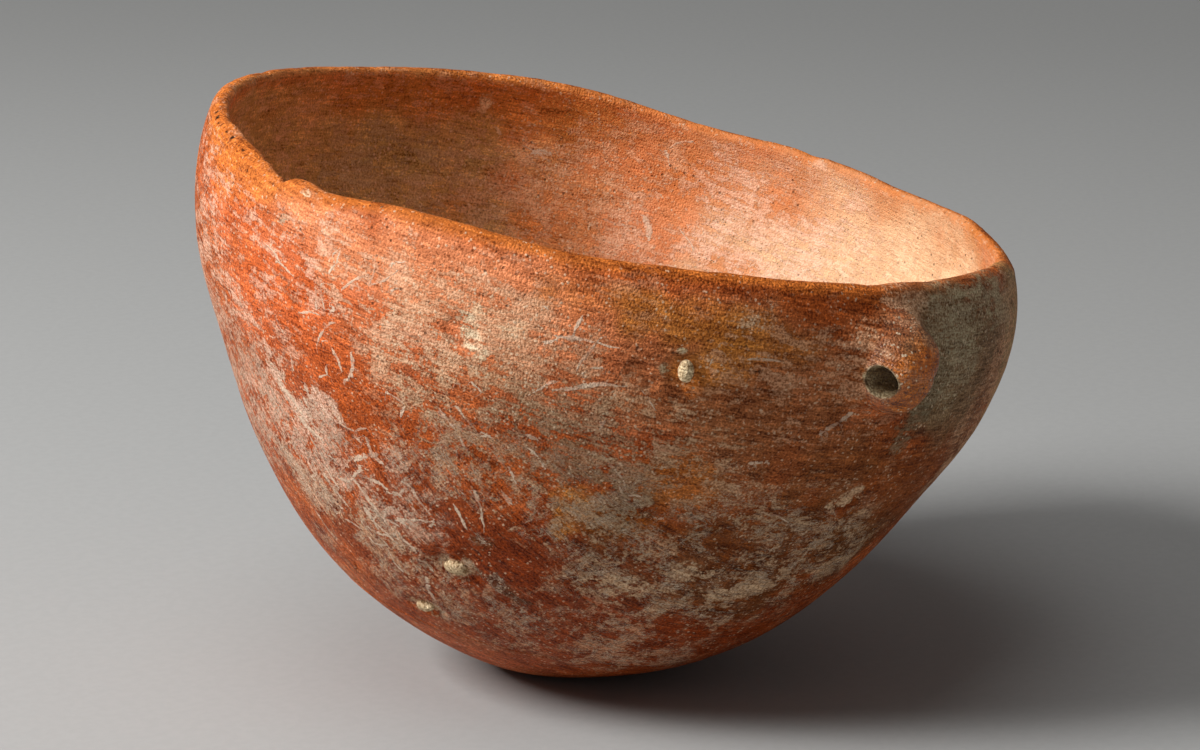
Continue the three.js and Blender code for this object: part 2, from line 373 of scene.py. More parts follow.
@dataclass(frozen=True)
class Relief:
    """What the hand, the scraper and time pressed into the clay, as depths below the smooth form."""

    seed: int = 7
    swell: float = 0.34
    lump: float = 0.16
    stroke: float = 0.07
    grain: float = 0.05
    pit_count: int = 260
    inner_pit_count: int = 150
    dents: tuple[Dent, ...] = (
        Dent(-122, 82.5, 9.5, 8.5, 0.55),
        Dent(-128, 81.5, 5.0, 4.0, 0.45),
        Dent(-149.5, 42.5, 14, 9, 0.7, 20),
        Dent(-158.5, 31.5, 10, 6, 0.6, 10),
        Dent(-150.5, 80.5, 8, 8, 0.5, 60),
        Dent(-89, 66, 11, 8, 0.35, 30),
        Dent(-146, 46, 5, 5, 0.5),
        Dent(-152, 44, 4, 6, 0.45),
        Dent(-126, 80.2, 3, 3, 0.4),
        Dent(-176, 74, 4, 3, 0.35),
        Dent(-98.5, 84, 12, 9, 0.7, -4, 0.9),
        Dent(74.5, 91, 4, 6, 0.5),
        Dent(-172.5, 84.2, 30, 2.2, 0.28, -14, 0.8),
        Dent(-145, 86.3, 26, 1.6, 0.28, -9, 0.8),
        Dent(-136, 86.8, 22, 1.4, 0.26, -12, 0.8),
        Dent(-125, 86.2, 18, 1.3, 0.2, -5, 0.8),
        Dent(35, 60, 13, 9, 0.5, 15),
        Dent(110, 52, 10, 8, 0.5, -20),
        Dent(80, 78, 7, 9, 0.4, 10),
        Dent(10, 82, 9, 6, 0.4),
        Dent(150, 35, 12, 8, 0.5, 30),
    )

    def outside(self, azimuth: Array, angle: Array) -> Array:
        """The depth of the outside below the smooth form.

        It is the sum of a slow swell, finger lumps, level strokes, fine grain, pits and named dents.

        Args:
            azimuth: degrees round the bowl.
            angle: degrees up from the bottom.

        Returns:
            Depths in millimetres, none below zero.
        """
        upright = FORM.upright(azimuth, angle, 0.0)
        depth = self.swell * (1 + Speckle(self.seed).at(upright, 42)) / 2
        depth += self.lump * (1 + Speckle(self.seed + 1).at(upright, 13, 2)) / 2
        depth += self.stroke * (1 + Speckle(self.seed + 2).at(upright, np.array([16, 16, 1.7]), 2)) / 2
        depth += self.grain * (1 + Speckle(self.seed + 3).at(upright, 1.7, 2)) / 2
        depth += self._pits(azimuth, angle, self.pit_count, self.seed + 4)
        for dent in self.dents:
            along, up = surface_offsets(azimuth, angle, dent.azimuth, dent.angle)
            share = oval_distance(along, up, dent.width, dent.height, dent.turn)
            share += 0.16 * Speckle(self.seed + 5).at(upright, 3, 2)
            depth += dent.depth * (1 - smoothstep(1 - dent.crisp, 1.02, share))
        return np.maximum(depth, 0)

    def inside(self, azimuth: Array, angle: Array) -> Array:
        """The inside's depth into the wall: finger sweeps round the bowl, lumps, grain and pits.

        Args:
            azimuth: degrees round the bowl.
            angle: degrees up from the bottom.

        Returns:
            Millimetres, which may be below zero.
        """
        upright = FORM.upright(azimuth, angle, 0.0)
        depth = 0.55 * Speckle(self.seed + 10).at(upright, np.array([34, 34, 15.0]), 2)
        depth += 0.14 * Speckle(self.seed + 11).at(upright, 8, 2)
        depth += 0.06 * Speckle(self.seed + 12).at(upright, np.array([15, 15, 1.6]), 2)
        depth += 0.05 * Speckle(self.seed + 13).at(upright, 1.8, 2)
        return depth + self._pits(azimuth, angle, self.inner_pit_count, self.seed + 14)

    def _pits(self, azimuth: Array, angle: Array, count: int, seed: int) -> Array:
        """Small round hollows at random places, most of them tiny.

        Args:
            azimuth: degrees round the bowl.
            angle: degrees up from the bottom.
            count: how many pits there are.
            seed: what the random places are drawn from.

        Returns:
            Depths in millimetres.
        """
        random = np.random.default_rng(seed)
        depth = np.zeros_like(azimuth)
        for _ in range(count):
            at_azimuth = random.uniform(-180, 180)
            at_angle = math.degrees(math.acos(random.uniform(-0.2, 1)))
            size = 0.9 + 2.2 * random.random() ** 3
            flat, turn = random.uniform(0.5, 1), random.uniform(-90, 90)
            deep = 0.10 + 0.11 * size
            near = np.abs(angle - at_angle) < 3
            if not near.any():
                continue
            along, up = surface_offsets(azimuth[near], angle[near], at_azimuth, at_angle)
            share = oval_distance(along, up, size, size * flat, turn)
            depth[near] += deep * (1 - smoothstep(0.35, 1.1, share))
        return depth


RELIEF = Relief()


@dataclass(frozen=True)
class Lip:
    """The lip's own wear: a fine waviness, nicks and a bump, which move its top down or up."""

    waviness: float = 0.45
    seed: int = 31
    bites: tuple[LipBite, ...] = (
        LipBite(-183.6, 4.5, 1.5),
        LipBite(-186.5, 5, 0.8),
        LipBite(-179.5, 8, -0.7),
        LipBite(-190, 3, 0.5),
        LipBite(-206, 10, 0.5),
        LipBite(-96, 7, 0.25),
        LipBite(-60, 4, 0.4),
        LipBite(20, 6, 0.5),
        LipBite(120, 5, 0.4),
    )
    # Painted shade: cracks in the lip, each an azimuth, a length and a depth of its middle below the top;
    # they have no depth in the form and are painted near black.
    cracks: tuple[tuple[float, float, float], ...] = (
        (-209.4, 1.5, 0.8), (-207.6, 2.2, 0.75), (-205.4, 1.3, 1.0), (-204.0, 0.9, 0.8),
        (-200.6, 1.4, 0.9), (-198.2, 1.8, 0.75), (-193.5, 0.9, 0.9),
    )

    def top(self, azimuth: Array) -> Array:
        """The lip's angle: the form's rim, lowered by the waviness and by each bite's soft hill.

        Args:
            azimuth: degrees round the bowl.

        Returns:
            Degrees up from the bottom.
        """
        smooth = FORM.rim_angle(azimuth)
        at = FORM.upright(azimuth, smooth, 0.0)
        drop = self.waviness * (1 + Speckle(self.seed).at(at, 7, 3)) / 2
        for bite in self.bites:
            along = np.radians(wrapped(azimuth - bite.azimuth)) * FORM.bowl_radius
            drop += bite.depth * np.exp(-((along / (bite.width / 2)) ** 2))
        return smooth - np.degrees(drop / FORM.bowl_radius)

    def cracked(self, azimuth: Array, below: Array) -> Array:
        """How far a point lies in one of the lip's cracks, from 0 to 1; there the painter paints the shade in
        the cracks, near black.

        Args:
            azimuth: degrees round the bowl.
            below: millimetres below the lip's top.

        Returns:
            The share of the nearest thin oval, of those given by azimuth, length and depth.
        """
        share = np.full_like(azimuth, 9.0)
        for at, length, deep in self.cracks:
            along = np.radians(wrapped(azimuth - at)) * FORM.bowl_radius
            share = np.minimum(share, oval_distance(along, below - deep, length, 0.75, 0))
        return 1 - smoothstep(0.55, 1.1, share)


LIP = Lip()


@dataclass(frozen=True)
class Patch:
    """An oval of colour on the wall: where it lies, how large it is, and how it fades."""

    azimuth: float
    angle: float
    width: float
    height: float
    tone: Tone
    strength: float = 0.8
    turn: float = 0.0
    soft: float = 0.42
    ragged: float = 0.5

    def cover(self, azimuth: Array, angle: Array, rough: Array) -> Array:
        """How much of this patch's colour shows at places on the bowl.

        Args:
            azimuth: degrees round the bowl.
            angle: degrees up from the bottom.
            rough: noise that frays the patch's edge.

        Returns:
            Shares from 0 to the patch's strength.
        """
        along, up = surface_offsets(azimuth, angle, self.azimuth, self.angle)
        share = oval_distance(along, up, self.width, self.height, self.turn) + self.ragged * rough
        return self.strength * (1 - smoothstep(1 - self.soft, 1 + self.soft, share))


@dataclass(frozen=True)
class RootMark:
    """A pale line that a root left on the slip: a thin band round a parabola."""

    azimuth: float
    angle: float
    length: float
    turn: float
    width: float = 0.45
    bend: float = 0.0
    reach: float = 2.6

    def trace(self, azimuth: Array, angle: Array, wander: Array) -> tuple[Array, Array, Array]:
        """Where the mark passes, as numbers that stay smooth between points.

        Args:
            azimuth: degrees round the bowl.
            angle: degrees up from the bottom.
            wander: noise that makes the line stray.

        Returns:
            The numbers of the points near the mark, their distance to one side of its middle in half
            widths, which grows past its ends, and how near they are, from 0 to 1.
        """
        span = math.degrees((self.length / 2 + self.reach) / FORM.bowl_radius)
        near = np.nonzero(np.abs(angle - self.angle) < span)[0]
        along, up = surface_offsets(azimuth[near], angle[near], self.azimuth, self.angle)
        c, s = math.cos(math.radians(self.turn)), math.sin(math.radians(self.turn))
        run = (along * c + up * s) / (self.length / 2)
        off = up * c - along * s - self.bend * (1 - run**2) + 0.4 * wander[near]
        half = self.width / 2 * np.sqrt(np.clip(1.1 - run**2, 0.02, 1))
        beside = 1 - smoothstep(0.6 * self.reach, self.reach, np.abs(off))
        return near, off / half, beside * (1 - smoothstep(0.9, 1.1, np.abs(run)))


@dataclass(frozen=True)
class RootSpray:
    """Fine root marks round a place: each run is a few lines that go on from each other and turn."""

    azimuth: float
    angle: float
    spread: float
    runs: int
    turn: float
    swing: float = 30.0

    def marks(self, random: np.random.Generator) -> list[RootMark]:
        """The spray's lines, in millimetres round its middle and then as places on the bowl.

        Args:
            random: what the lines are drawn from.

        Returns:
            One to three lines for each run.
        """
        lines = []
        for _ in range(self.runs):
            at = random.normal(size=2) * self.spread
            turn = self.turn + random.normal() * self.swing
            width = random.uniform(0.35, 0.75)
            for _ in range(random.integers(1, 4)):
                length = random.uniform(1.0, 3.6)
                step = length * np.array([math.cos(math.radians(turn)), math.sin(math.radians(turn))])
                middle, at = at + step / 2, at + step
                angle = self.angle + math.degrees(middle[1] / FORM.bowl_radius)
                ring = FORM.bowl_radius * math.sin(math.radians(self.angle))
                azimuth = self.azimuth + math.degrees(middle[0] / ring)
                lines.append(RootMark(azimuth, angle, length * 1.1, turn, width, random.normal() * 0.12))
                turn += random.normal() * 32
        return lines


@dataclass(frozen=True)
class Side:
    """One side of the wall: the fired slip, what lies over it, and the root marks."""

    ground: Tone
    drift: Tone
    dusting: Tone
    base_dusting: float
    slip: tuple[Patch, ...]
    dust: tuple[Patch, ...]
    marks: tuple[RootMark, ...]
    sprays: tuple[RootSpray, ...]
    seed: int

    def all_marks(self) -> list[RootMark]:
        """The marks listed one by one and those of the sprays."""
        random = np.random.default_rng(self.seed)
        return [*self.marks, *(line for spray in self.sprays for line in spray.marks(random))]


OUTSIDE = Side(
    ground=Tone.BRICK,
    drift=Tone.RUST,
    dusting=Tone.ROSE_DUST,
    base_dusting=0.12,
    slip=(
        Patch(-150, 82, 150, 34, Tone.SALMON, 0.5),
        Patch(-178, 84, 96, 26, Tone.RED_ORANGE, 0.7, -4),
        Patch(-192, 88, 34, 12, Tone.ORANGE, 0.6),
        Patch(-160, 86, 80, 16, Tone.SALMON, 0.8, -4),
        Patch(-178, 74, 52, 28, Tone.RED_ORANGE, 0.85, -20),
        Patch(-165, 62, 50, 34, Tone.RUST, 0.6),
        Patch(-174, 50, 50, 24, Tone.RED_ORANGE, 0.4, -20),
        Patch(-155, 45, 60, 30, Tone.DEEP_RED, 0.6, -10),
        Patch(-122, 42, 96, 42, Tone.DEEP_RED, 0.75),
        Patch(-122, 40, 130, 54, Tone.OXBLOOD, 0.75),
        Patch(-139, 72, 24, 14, Tone.RUST, 0.7, 30),
        Patch(-112, 82, 60, 30, Tone.SIENNA, 0.7),
        Patch(-123, 89, 44, 9, Tone.HONEY, 0.8, -3),
        Patch(-104, 72, 60, 26, Tone.SIENNA, 0.6, -12),
        Patch(-118, 66, 20, 14, Tone.HONEY, 0.6, -12),
        Patch(-131.5, 58, 7, 14, Tone.OCHRE, 0.9, -12, 0.4, 0.7),
        Patch(-123.5, 57.5, 22, 6, Tone.AMBER, 0.8, 5),
        Patch(-96, 55, 70, 34, Tone.UMBER, 0.7),
        Patch(-78, 66, 60, 44, Tone.UMBER, 0.55),
        Patch(-74, 88, 52, 36, Tone.EARTH, 0.85),
        Patch(-20, 84, 70, 34, Tone.SALMON, 0.6),
        Patch(-25, 55, 70, 34, Tone.RUST, 0.55),
        Patch(50, 80, 70, 30, Tone.RED_ORANGE, 0.6, 8),
        Patch(118, 55, 60, 40, Tone.DEEP_RED, 0.6),
        Patch(132, 82, 44, 22, Tone.ORANGE, 0.5),
        Patch(30, 30, 70, 34, Tone.DEEP_RED, 0.6),
        Patch(0, 8, 46, 40, Tone.UMBER, 0.5),
        Patch(-120.5, 80.6, 4, 4.6, Tone.ORANGE, 1.0, 40, 0.2, 0.2),
        Patch(-117.5, 84.6, 18, 9, Tone.OCHRE, 0.7, 20),
        Patch(-90.5, 86.2, 18, 13.5, Tone.AMBER, 1.0, 0, 0.25, 0.25),
        Patch(-91, 88.8, 10, 5, Tone.GINGER, 1.2, 20, 0.3, 0.4),
        Patch(-55, 82, 30, 50, Tone.SIENNA, 0.7),
        Patch(-52, 86, 22, 50, Tone.COCOA, 0.6),
    ),
    dust=(
        Patch(-209, 70, 60, 92, Tone.PINK_LIME, 0.42),
        Patch(-195, 62, 46, 52, Tone.PINK_LIME, 0.4, -20),
        Patch(-171.8, 62.5, 11, 4.6, Tone.PINK_LIME, 1.2, -28, 0.25, 0.5),
        Patch(-179, 59.5, 14, 6, Tone.PINK_LIME, 1.0, -40, 0.5, 0.9),
        Patch(-184, 66, 12, 5, Tone.PINK_LIME, 0.8, -50, 0.5, 0.9),
        Patch(-184, 52, 36, 20, Tone.PINK_LIME, 0.55, -25),
        Patch(-168, 52, 46, 26, Tone.PINK_LIME, 0.5, -25),
        Patch(-166, 43, 44, 16, Tone.DUST, 0.45, -20),
        Patch(-166, 82, 80, 26, Tone.PINK_LIME, 0.42),
        Patch(-150, 76.5, 48, 26, Tone.DUST, 0.65, -14),
        Patch(-152, 84, 50, 14, Tone.ROSE_DUST, 0.6, -8),
        Patch(-138, 80, 36, 20, Tone.ROSE_DUST, 0.55, -5),
        Patch(-134, 66, 46, 28, Tone.SMOKE, 0.55, -35),
        Patch(-146, 63, 22, 18, Tone.SMOKE, 0.4),
        Patch(-128, 69, 32, 20, Tone.SMOKE, 0.6, -20),
        Patch(-146, 61, 42, 20, Tone.DUST, 0.36, -20),
        Patch(-124, 55, 46, 18, Tone.DUST, 0.32),
        Patch(-136, 34, 90, 24, Tone.ROSE_DUST, 0.34, -8),
        Patch(-122, 72, 34, 22, Tone.DUST, 0.45),
        Patch(-112, 61, 40, 14, Tone.ASH, 0.3),
        Patch(-95, 63, 52, 20, Tone.DUST, 0.36),
        Patch(-102, 48, 56, 22, Tone.DUST, 0.38),
        Patch(-86, 54, 34, 22, Tone.DUST, 0.45),
        Patch(-54, 82, 40, 56, Tone.ROSE_DUST, 0.9),
        Patch(-74, 93, 42, 17, Tone.SAGE, 0.85, 3, 0.35, 0.4),
        Patch(-78, 87, 22, 17, Tone.SAGE, 0.85, -10, 0.3, 0.35),
        Patch(-82.5, 83, 9, 17, Tone.SMOKE, 1.25, -12, 0.25, 0.25),
        Patch(-84, 77.5, 7, 11, Tone.SMOKE, 1.0, -30),
        Patch(-73, 96.8, 34, 3.4, Tone.SAND, 1.1, 3, 0.3, 0.3),
        Patch(-70, 92, 24, 9, Tone.SAND, 0.6, 25, 0.5, 1.0),
        Patch(-91, 95.2, 14, 7.5, Tone.ROSE_DUST, 1.3, 8),
        Patch(-98, 89.6, 6, 5, Tone.ROSE_DUST, 0.7),
        Patch(-100, 78, 26, 12, Tone.ROSE_DUST, 0.35),
        Patch(-107, 86, 48, 18, Tone.ROSE_DUST, 0.42, -4),
        Patch(15, 62, 62, 46, Tone.PINK_LIME, 0.6, 20),
        Patch(-40, 70, 40, 30, Tone.PINK_LIME, 0.45),
        Patch(62, 56, 54, 36, Tone.SMOKE, 0.6, -20),
        Patch(85, 72, 50, 40, Tone.DUST, 0.65),
        Patch(120, 40, 60, 30, Tone.DUST, 0.5),
        Patch(140, 64, 40, 40, Tone.PINK_LIME, 0.55),
        Patch(-149.8, 80.8, 4.4, 8, Tone.CREAM, 1.3, 25, 0.15, 0.3),
        Patch(-147.6, 78.6, 3, 2.4, Tone.CREAM, 1.1, -30, 0.2, 0.4),
        Patch(-148.5, 83.5, 3.4, 2.4, Tone.DUST, 1.1, -20, 0.3, 0.6),
        Patch(-144, 82.8, 5, 3, Tone.DUST, 1.1, 10, 0.3, 0.6),
        Patch(-123.2, 85.2, 1.8, 1.8, Tone.STONE, 1.2, 0, 0.2, 0.2),
        Patch(-124.8, 82.4, 2.6, 2.6, Tone.STONE, 1.0, 0, 0.3, 0.4),
        Patch(-88.5, 66, 8, 6, Tone.DUST, 1.0, 30, 0.3, 0.5),
        Patch(-96, 48, 16, 4.5, Tone.DUST, 0.9, 15, 0.4, 0.7),
        Patch(-109, 51, 14.5, 5, Tone.DUST, 0.9, 5, 0.4, 0.7),
        Patch(-120, 46.5, 14.5, 5, Tone.DUST, 0.85, 0, 0.4, 0.7),
        Patch(-115.5, 90, 5, 2.6, Tone.DUST, 1.0, 20, 0.3, 0.7),
        Patch(-149.5, 42.5, 8, 5, Tone.DUST, 1.0, 20),
        Patch(-158.5, 31.5, 8, 5, Tone.DUST, 1.0, 10),
        Patch(-144, 49, 5, 4, Tone.UMBER, 0.7),
        Patch(-139.5, 41.5, 9, 2.6, Tone.SOOT_AND_CRACK_SHADE, 0.9, -25, 0.5, 0.9),
        Patch(-141.5, 43.5, 3, 3, Tone.SOOT_AND_CRACK_SHADE, 0.9, 0, 0.5, 0.8),
        Patch(-135.5, 40, 5, 1.8, Tone.SOOT_AND_CRACK_SHADE, 0.8, -10, 0.5, 0.9),
        Patch(-180, 85.5, 4, 1.8, Tone.ASH, 0.8, 40, 0.5, 0.8),
        Patch(-177, 76.5, 7, 3, Tone.UMBER, 0.55, -50, 0.6, 0.8),
        Patch(-177.3, 89.5, 2.2, 1.5, Tone.CREAM, 1.3, 0, 0.2, 0.2),
    ),
    marks=(
        RootMark(-170.5, 73, 9.4, 60, 0.54, 0.9),
        RootMark(-173.5, 75, 6.5, 15, 0.54, 0.6),
        RootMark(-168.5, 70.5, 5.8, -62, 0.48, 0.3),
        RootMark(-166, 82, 8.6, 38, 0.42, 0.5),
        RootMark(-162, 84, 7.2, 40, 0.36, -0.5),
        RootMark(-164, 83.5, 5, 80, 0.36, 0),
        RootMark(-181, 80.5, 5.8, -25, 0.5, 0.3),
        RootMark(-178.5, 79.5, 5.8, -10, 0.42, 0.2),
        RootMark(-180, 60, 10.1, -40, 0.7, 0.6),
        RootMark(-174, 60.5, 7.2, -35, 0.9, 0.3),
        RootMark(-172, 59, 6.5, -60, 0.7, 0.3),
        RootMark(-166, 50, 11.5, -45, 0.6, 0.4),
        RootMark(-163, 45, 9.4, -38, 0.55, 0.4),
        RootMark(-174, 51, 7.9, -50, 0.55, 0.2),
        RootMark(-150, 66, 12.2, -55, 0.55, 0.7),
        RootMark(-145, 54, 9.4, -75, 0.42, 0.4),
        RootMark(-148, 52.5, 6.5, -60, 0.36, 0.2),
        RootMark(-134.2, 82.2, 8.6, 66, 0.55, 0.5),
        RootMark(-136.5, 85, 5, 86, 0.42, 0.2),
        RootMark(-135, 83.5, 12.2, 2, 0.42, 0.2),
        RootMark(-133, 77.5, 14.4, 18, 0.55, 0.7),
        RootMark(-139, 76, 7.2, 40, 0.48, 0.3),
        RootMark(-126, 78, 6.5, -40, 0.36, 0.2),
        RootMark(-119, 84.8, 3.6, 70, 0.36, 0.1),
        RootMark(-112, 85.6, 7.9, 3, 0.48, 0.2),
        RootMark(-127, 66, 10.1, -50, 0.48, 0.5),
        RootMark(-100, 62, 8.6, -15, 0.48, 0.4),
    ),
    sprays=(
        RootSpray(-175, 52, 9, 22, -50),
        RootSpray(-166, 47, 8, 16, -45),
        RootSpray(-181, 63, 7, 9, -30),
        RootSpray(-160, 56, 8, 12, -55),
        RootSpray(-169, 74, 6, 7, 45),
        RootSpray(-165, 84, 5, 5, 40),
        RootSpray(-150, 66, 8, 9, -45),
        RootSpray(-137, 80, 8, 5, 15),
        RootSpray(-130, 60, 10, 4, -40),
        RootSpray(-112, 68, 14, 3, 15),
        RootSpray(-197, 50, 12, 8, -50),
        RootSpray(20, 60, 25, 10, -40),
        RootSpray(90, 60, 25, 10, 30),
        RootSpray(140, 50, 20, 8, -30),
    ),
    seed=91,
)

INSIDE = Side(
    ground=Tone.TAN,
    drift=Tone.SALMON,
    dusting=Tone.ROSE_DUST,
    base_dusting=0.3,
    slip=(
        Patch(110, 74, 110, 60, Tone.COCOA, 0.85),
        Patch(76, 90, 100, 14, Tone.OCHRE, 0.7, -3),
        Patch(80, 83, 46, 14, Tone.COCOA, 0.6),
        Patch(62, 73.5, 14, 10, Tone.ORANGE, 0.5),
        Patch(25, 76, 84, 60, Tone.SALMON, 0.6),
        Patch(-2, 74, 112, 70, Tone.SHELL, 0.95),
        Patch(34, 86, 54, 14, Tone.ORANGE, 0.45, -6),
        Patch(28, 74, 16, 9, Tone.ORANGE, 0.6),
        Patch(-60, 74, 70, 60, Tone.SALMON, 0.6),
        Patch(0, 20, 90, 70, Tone.SALMON, 0.4),
        Patch(150, 82, 22, 12, Tone.RUST, 0.4),
    ),
    dust=(
        Patch(125, 76, 90, 50, Tone.DUST, 0.4),
        Patch(86, 76, 50, 28, Tone.ASH, 0.6),
        Patch(58, 76, 60, 34, Tone.ROSE_DUST, 0.6),
        Patch(20, 74, 70, 54, Tone.PINK_LIME, 0.7),
        Patch(-20, 72, 70, 60, Tone.SHELL, 0.9),
        Patch(-90, 60, 80, 60, Tone.DUST, 0.45),
        Patch(0, 20, 90, 60, Tone.DUST, 0.5),
        Patch(-40, 45, 60, 40, Tone.ASH, 0.35),
        Patch(74.5, 91, 4, 5, Tone.CREAM, 1.2),
    ),
    marks=(
        RootMark(43.5, 88, 5, 66, 1, 0.2),
        RootMark(44, 76.5, 6.5, 62, 1.1, 0.2),
        RootMark(42, 91, 6.5, -35, 0.7, 0.4),
        RootMark(37, 76.5, 6.5, 40, 0.5, 0.2),
        RootMark(64, 84, 7.2, 20, 0.4, 0.4),
    ),
    sprays=(
        RootSpray(62, 82, 9, 3, 45),
        RootSpray(8, 76, 14, 2, -35),
        RootSpray(-90, 60, 25, 6, 20),
    ),
    seed=92,
)


class Painter:
    """Lays colours and coats on a piece's points, from where they lie on the bowl."""

    # Painted highlight: round azimuth -198, the lit left end of the bowl, the lip's clay band is drawn wider
    # and more orange.
    GLOW_AZIMUTH, GLOW_SPREAD = -198, 20
    SMOKED_AZIMUTH = -74
    RUBBED_AZIMUTH, RUBBED_SPREAD = -165, 30

    def __init__(self, seed: int = 90) -> None:
        """Keeps the noises that fray and mottle the patches.

        Args:
            seed: what the first noise is drawn from.
        """
        self.fray = Speckle(seed)
        self.cloud = Speckle(seed + 1)
        self.crumb = Speckle(seed + 2)
        self.wander = Speckle(seed + 3)

    @staticmethod
    def _cover(patch: Patch, azimuth: Array, angle: Array, stray: Array, rough: Array, fine: Array) -> Array:
        """A patch's cover: a large one strays and frays widely, and one under 15 mm only finely.

        Args:
            patch: the patch.
            azimuth: degrees round the bowl.
            angle: degrees up from the bottom.
            stray: degrees that a large patch's outline strays by.
            rough: noise that frays a large patch.
            fine: noise that frays a small one.

        Returns:
            Shares from 0 to the patch's strength.
        """
        if patch.width > 15:
            return patch.cover(azimuth + stray, angle + 0.7 * stray, rough)
        return patch.cover(azimuth, angle, fine)

    def _side(self, side: Side, azimuth: Array, angle: Array, at: Array) -> tuple[Array, ...]:
        """One side's slip, dust and root marks.

        Args:
            side: the side's colours.
            azimuth: degrees round the bowl.
            angle: degrees up from the bottom.
            at: upright positions, for the noises.

        Returns:
            The slip's colour, the dust's colour, how much dust there is, and in three layers the
            distance to one side of the nearest root mark and how near it is.
        """
        rough = self.fray.at(at, 10, 5)
        fine = self.crumb.at(at, 2.6, 3)
        drift = 0.5 + 0.5 * self.cloud.at(at, 17, 4)
        stray = np.degrees(3.5 * self.wander.at(at, 8, 3) / FORM.bowl_radius)
        slip = mix(side.ground.linear(), side.drift.linear(), drift[..., None])
        for patch in side.slip:
            cover = self._cover(patch, azimuth, angle, stray, rough, fine)
            slip = mix(slip, patch.tone.linear(), cover[..., None])
        dust = np.full(slip.shape, side.dusting.linear())
        amount = np.full_like(azimuth, side.base_dusting) * (1 + 0.5 * rough)
        for patch in side.dust:
            cover = self._cover(patch, azimuth, angle, stray, rough, fine)
            dust = mix(dust, patch.tone.linear(), (cover / (0.6 * amount + cover + 1e-6))[..., None])
            amount = np.maximum(amount, cover) + 0.3 * np.minimum(amount, cover)
        wander = self.wander.at(at, 3.2, 2) + 0.3 * fine
        off, near = np.full((len(azimuth), 3), 9.0), np.zeros((len(azimuth), 3))
        for number, mark in enumerate(side.all_marks()):
            layer = number % 3
            points, aside, nearness = mark.trace(azimuth, angle, wander)
            closer = nearness > near[points, layer]
            off[points[closer], layer] = np.clip(aside[closer], -9, 9)
            near[points[closer], layer] = nearness[closer]
        return slip, dust, amount, off, near

    @staticmethod
    def positions(mesh: bpy.types.Mesh) -> Array:
        """A mesh's points in millimetres.

        Args:
            mesh: the mesh.

        Returns:
            One row for each point.
        """
        flat = np.empty(len(mesh.vertices) * 3, np.float32)
        mesh.vertices.foreach_get("co", flat)
        return flat.reshape(-1, 3).astype(float) / MILLIMETRE

    def paint(self, piece: bpy.types.Object, finish: "Finish", bare: Array | float) -> None:
        """Writes the slip, dust, root marks and upright position of every point of a piece.

        Args:
            piece: the piece, with its place in its mesh.
            finish: the finish, which says how strongly the coats lie on this piece.
            bare: how far the slip is missing, for each point or for all.
        """
        mesh = piece.data
        azimuth, angle, depth = FORM.locate(self.positions(mesh))
        at = FORM.upright(azimuth, angle, depth)
        outer = self._side(OUTSIDE, azimuth, angle, at)
        inner = self._side(INSIDE, azimuth, angle, at)
        inside = smoothstep(0.45, 0.75, depth / FORM.wall(angle))
        wide = inside[..., None]
        slip, dust = mix(outer[0], inner[0], wide), mix(outer[1], inner[1], wide)
        amount = mix(outer[2], inner[2], inside)
        off, near = (np.where(wide > 0.5, inner[i], outer[i]) for i in (3, 4))
        below = np.radians(LIP.top(azimuth) - angle) * FORM.bowl_radius
        # Painted highlight: the lip's clay band widens and turns orange round the lit left end of the bowl.
        lip_highlight = np.exp(-((wrapped(azimuth - self.GLOW_AZIMUTH) / self.GLOW_SPREAD) ** 2))
        broad = 2.2 + 4.0 * lip_highlight + 1.6 * self.cloud.at(at, 12, 3)
        lip = (1 - smoothstep(0.3 * broad, 1.5 * broad, below)) * (1 - 0.3 * inside)
        smoked = 1 - smoothstep(14, 34, np.abs(wrapped(azimuth - self.SMOKED_AZIMUTH)))
        clay = mix(finish.lip.linear(), Tone.ORANGE.linear(), np.maximum(0.7 * lip_highlight, 0.7 * inside)[..., None])
        slip = mix(slip, clay, (0.9 * lip * (1 - 0.7 * smoked))[..., None])
        amount *= 1 - 0.65 * lip
        slip *= (1 + 0.14 * self.crumb.at(at, 1.3, 2))[..., None]
        # Painted shade: the lip's cracks are painted near black, and no dust lies in them.
        crack_shade = LIP.cracked(azimuth, below) * (1 - inside)
        slip, amount = mix(slip, Tone.SOOT_AND_CRACK_SHADE.linear() * 0.3, crack_shade[..., None]), amount * (1 - crack_shade)
        bare = np.broadcast_to(bare, azimuth.shape)
        slip = mix(slip, Tone.EARTH.linear(), bare[..., None])
        dust = mix(dust, Tone.SAND.linear(), bare[..., None])
        amount = np.maximum(amount, 0.9 * bare)
        if finish.tint is not None:
            slip = mix(slip, finish.tint.linear(), finish.cover)
            amount *= 1 - finish.cover
        amount *= finish.dusty
        sheltered = mix(0.7, 0.3, smoothstep(25, 75, np.abs(wrapped(azimuth))))
        bottom = 0.6 * (1 - smoothstep(35, 65, angle))
        rubbed = np.exp(-((wrapped(azimuth - self.RUBBED_AZIMUTH) / self.RUBBED_SPREAD) ** 2))
        rubbed = 0.35 * smoothstep(68, 84, angle) * rubbed
        rugged = 1 - mix(rubbed, np.maximum(sheltered, bottom), inside)
        self._write(mesh, "slip", "FLOAT_COLOR", np.column_stack([slip, rugged]))
        self._write(mesh, "dust", "FLOAT_COLOR", np.column_stack([dust, np.clip(amount, 0, 1.3)]))
        self._write(mesh, "mark_off", "FLOAT_VECTOR", off)
        self._write(mesh, "mark_near", "FLOAT_VECTOR", near)
        self._write(mesh, "own", "FLOAT_VECTOR", at * MILLIMETRE)

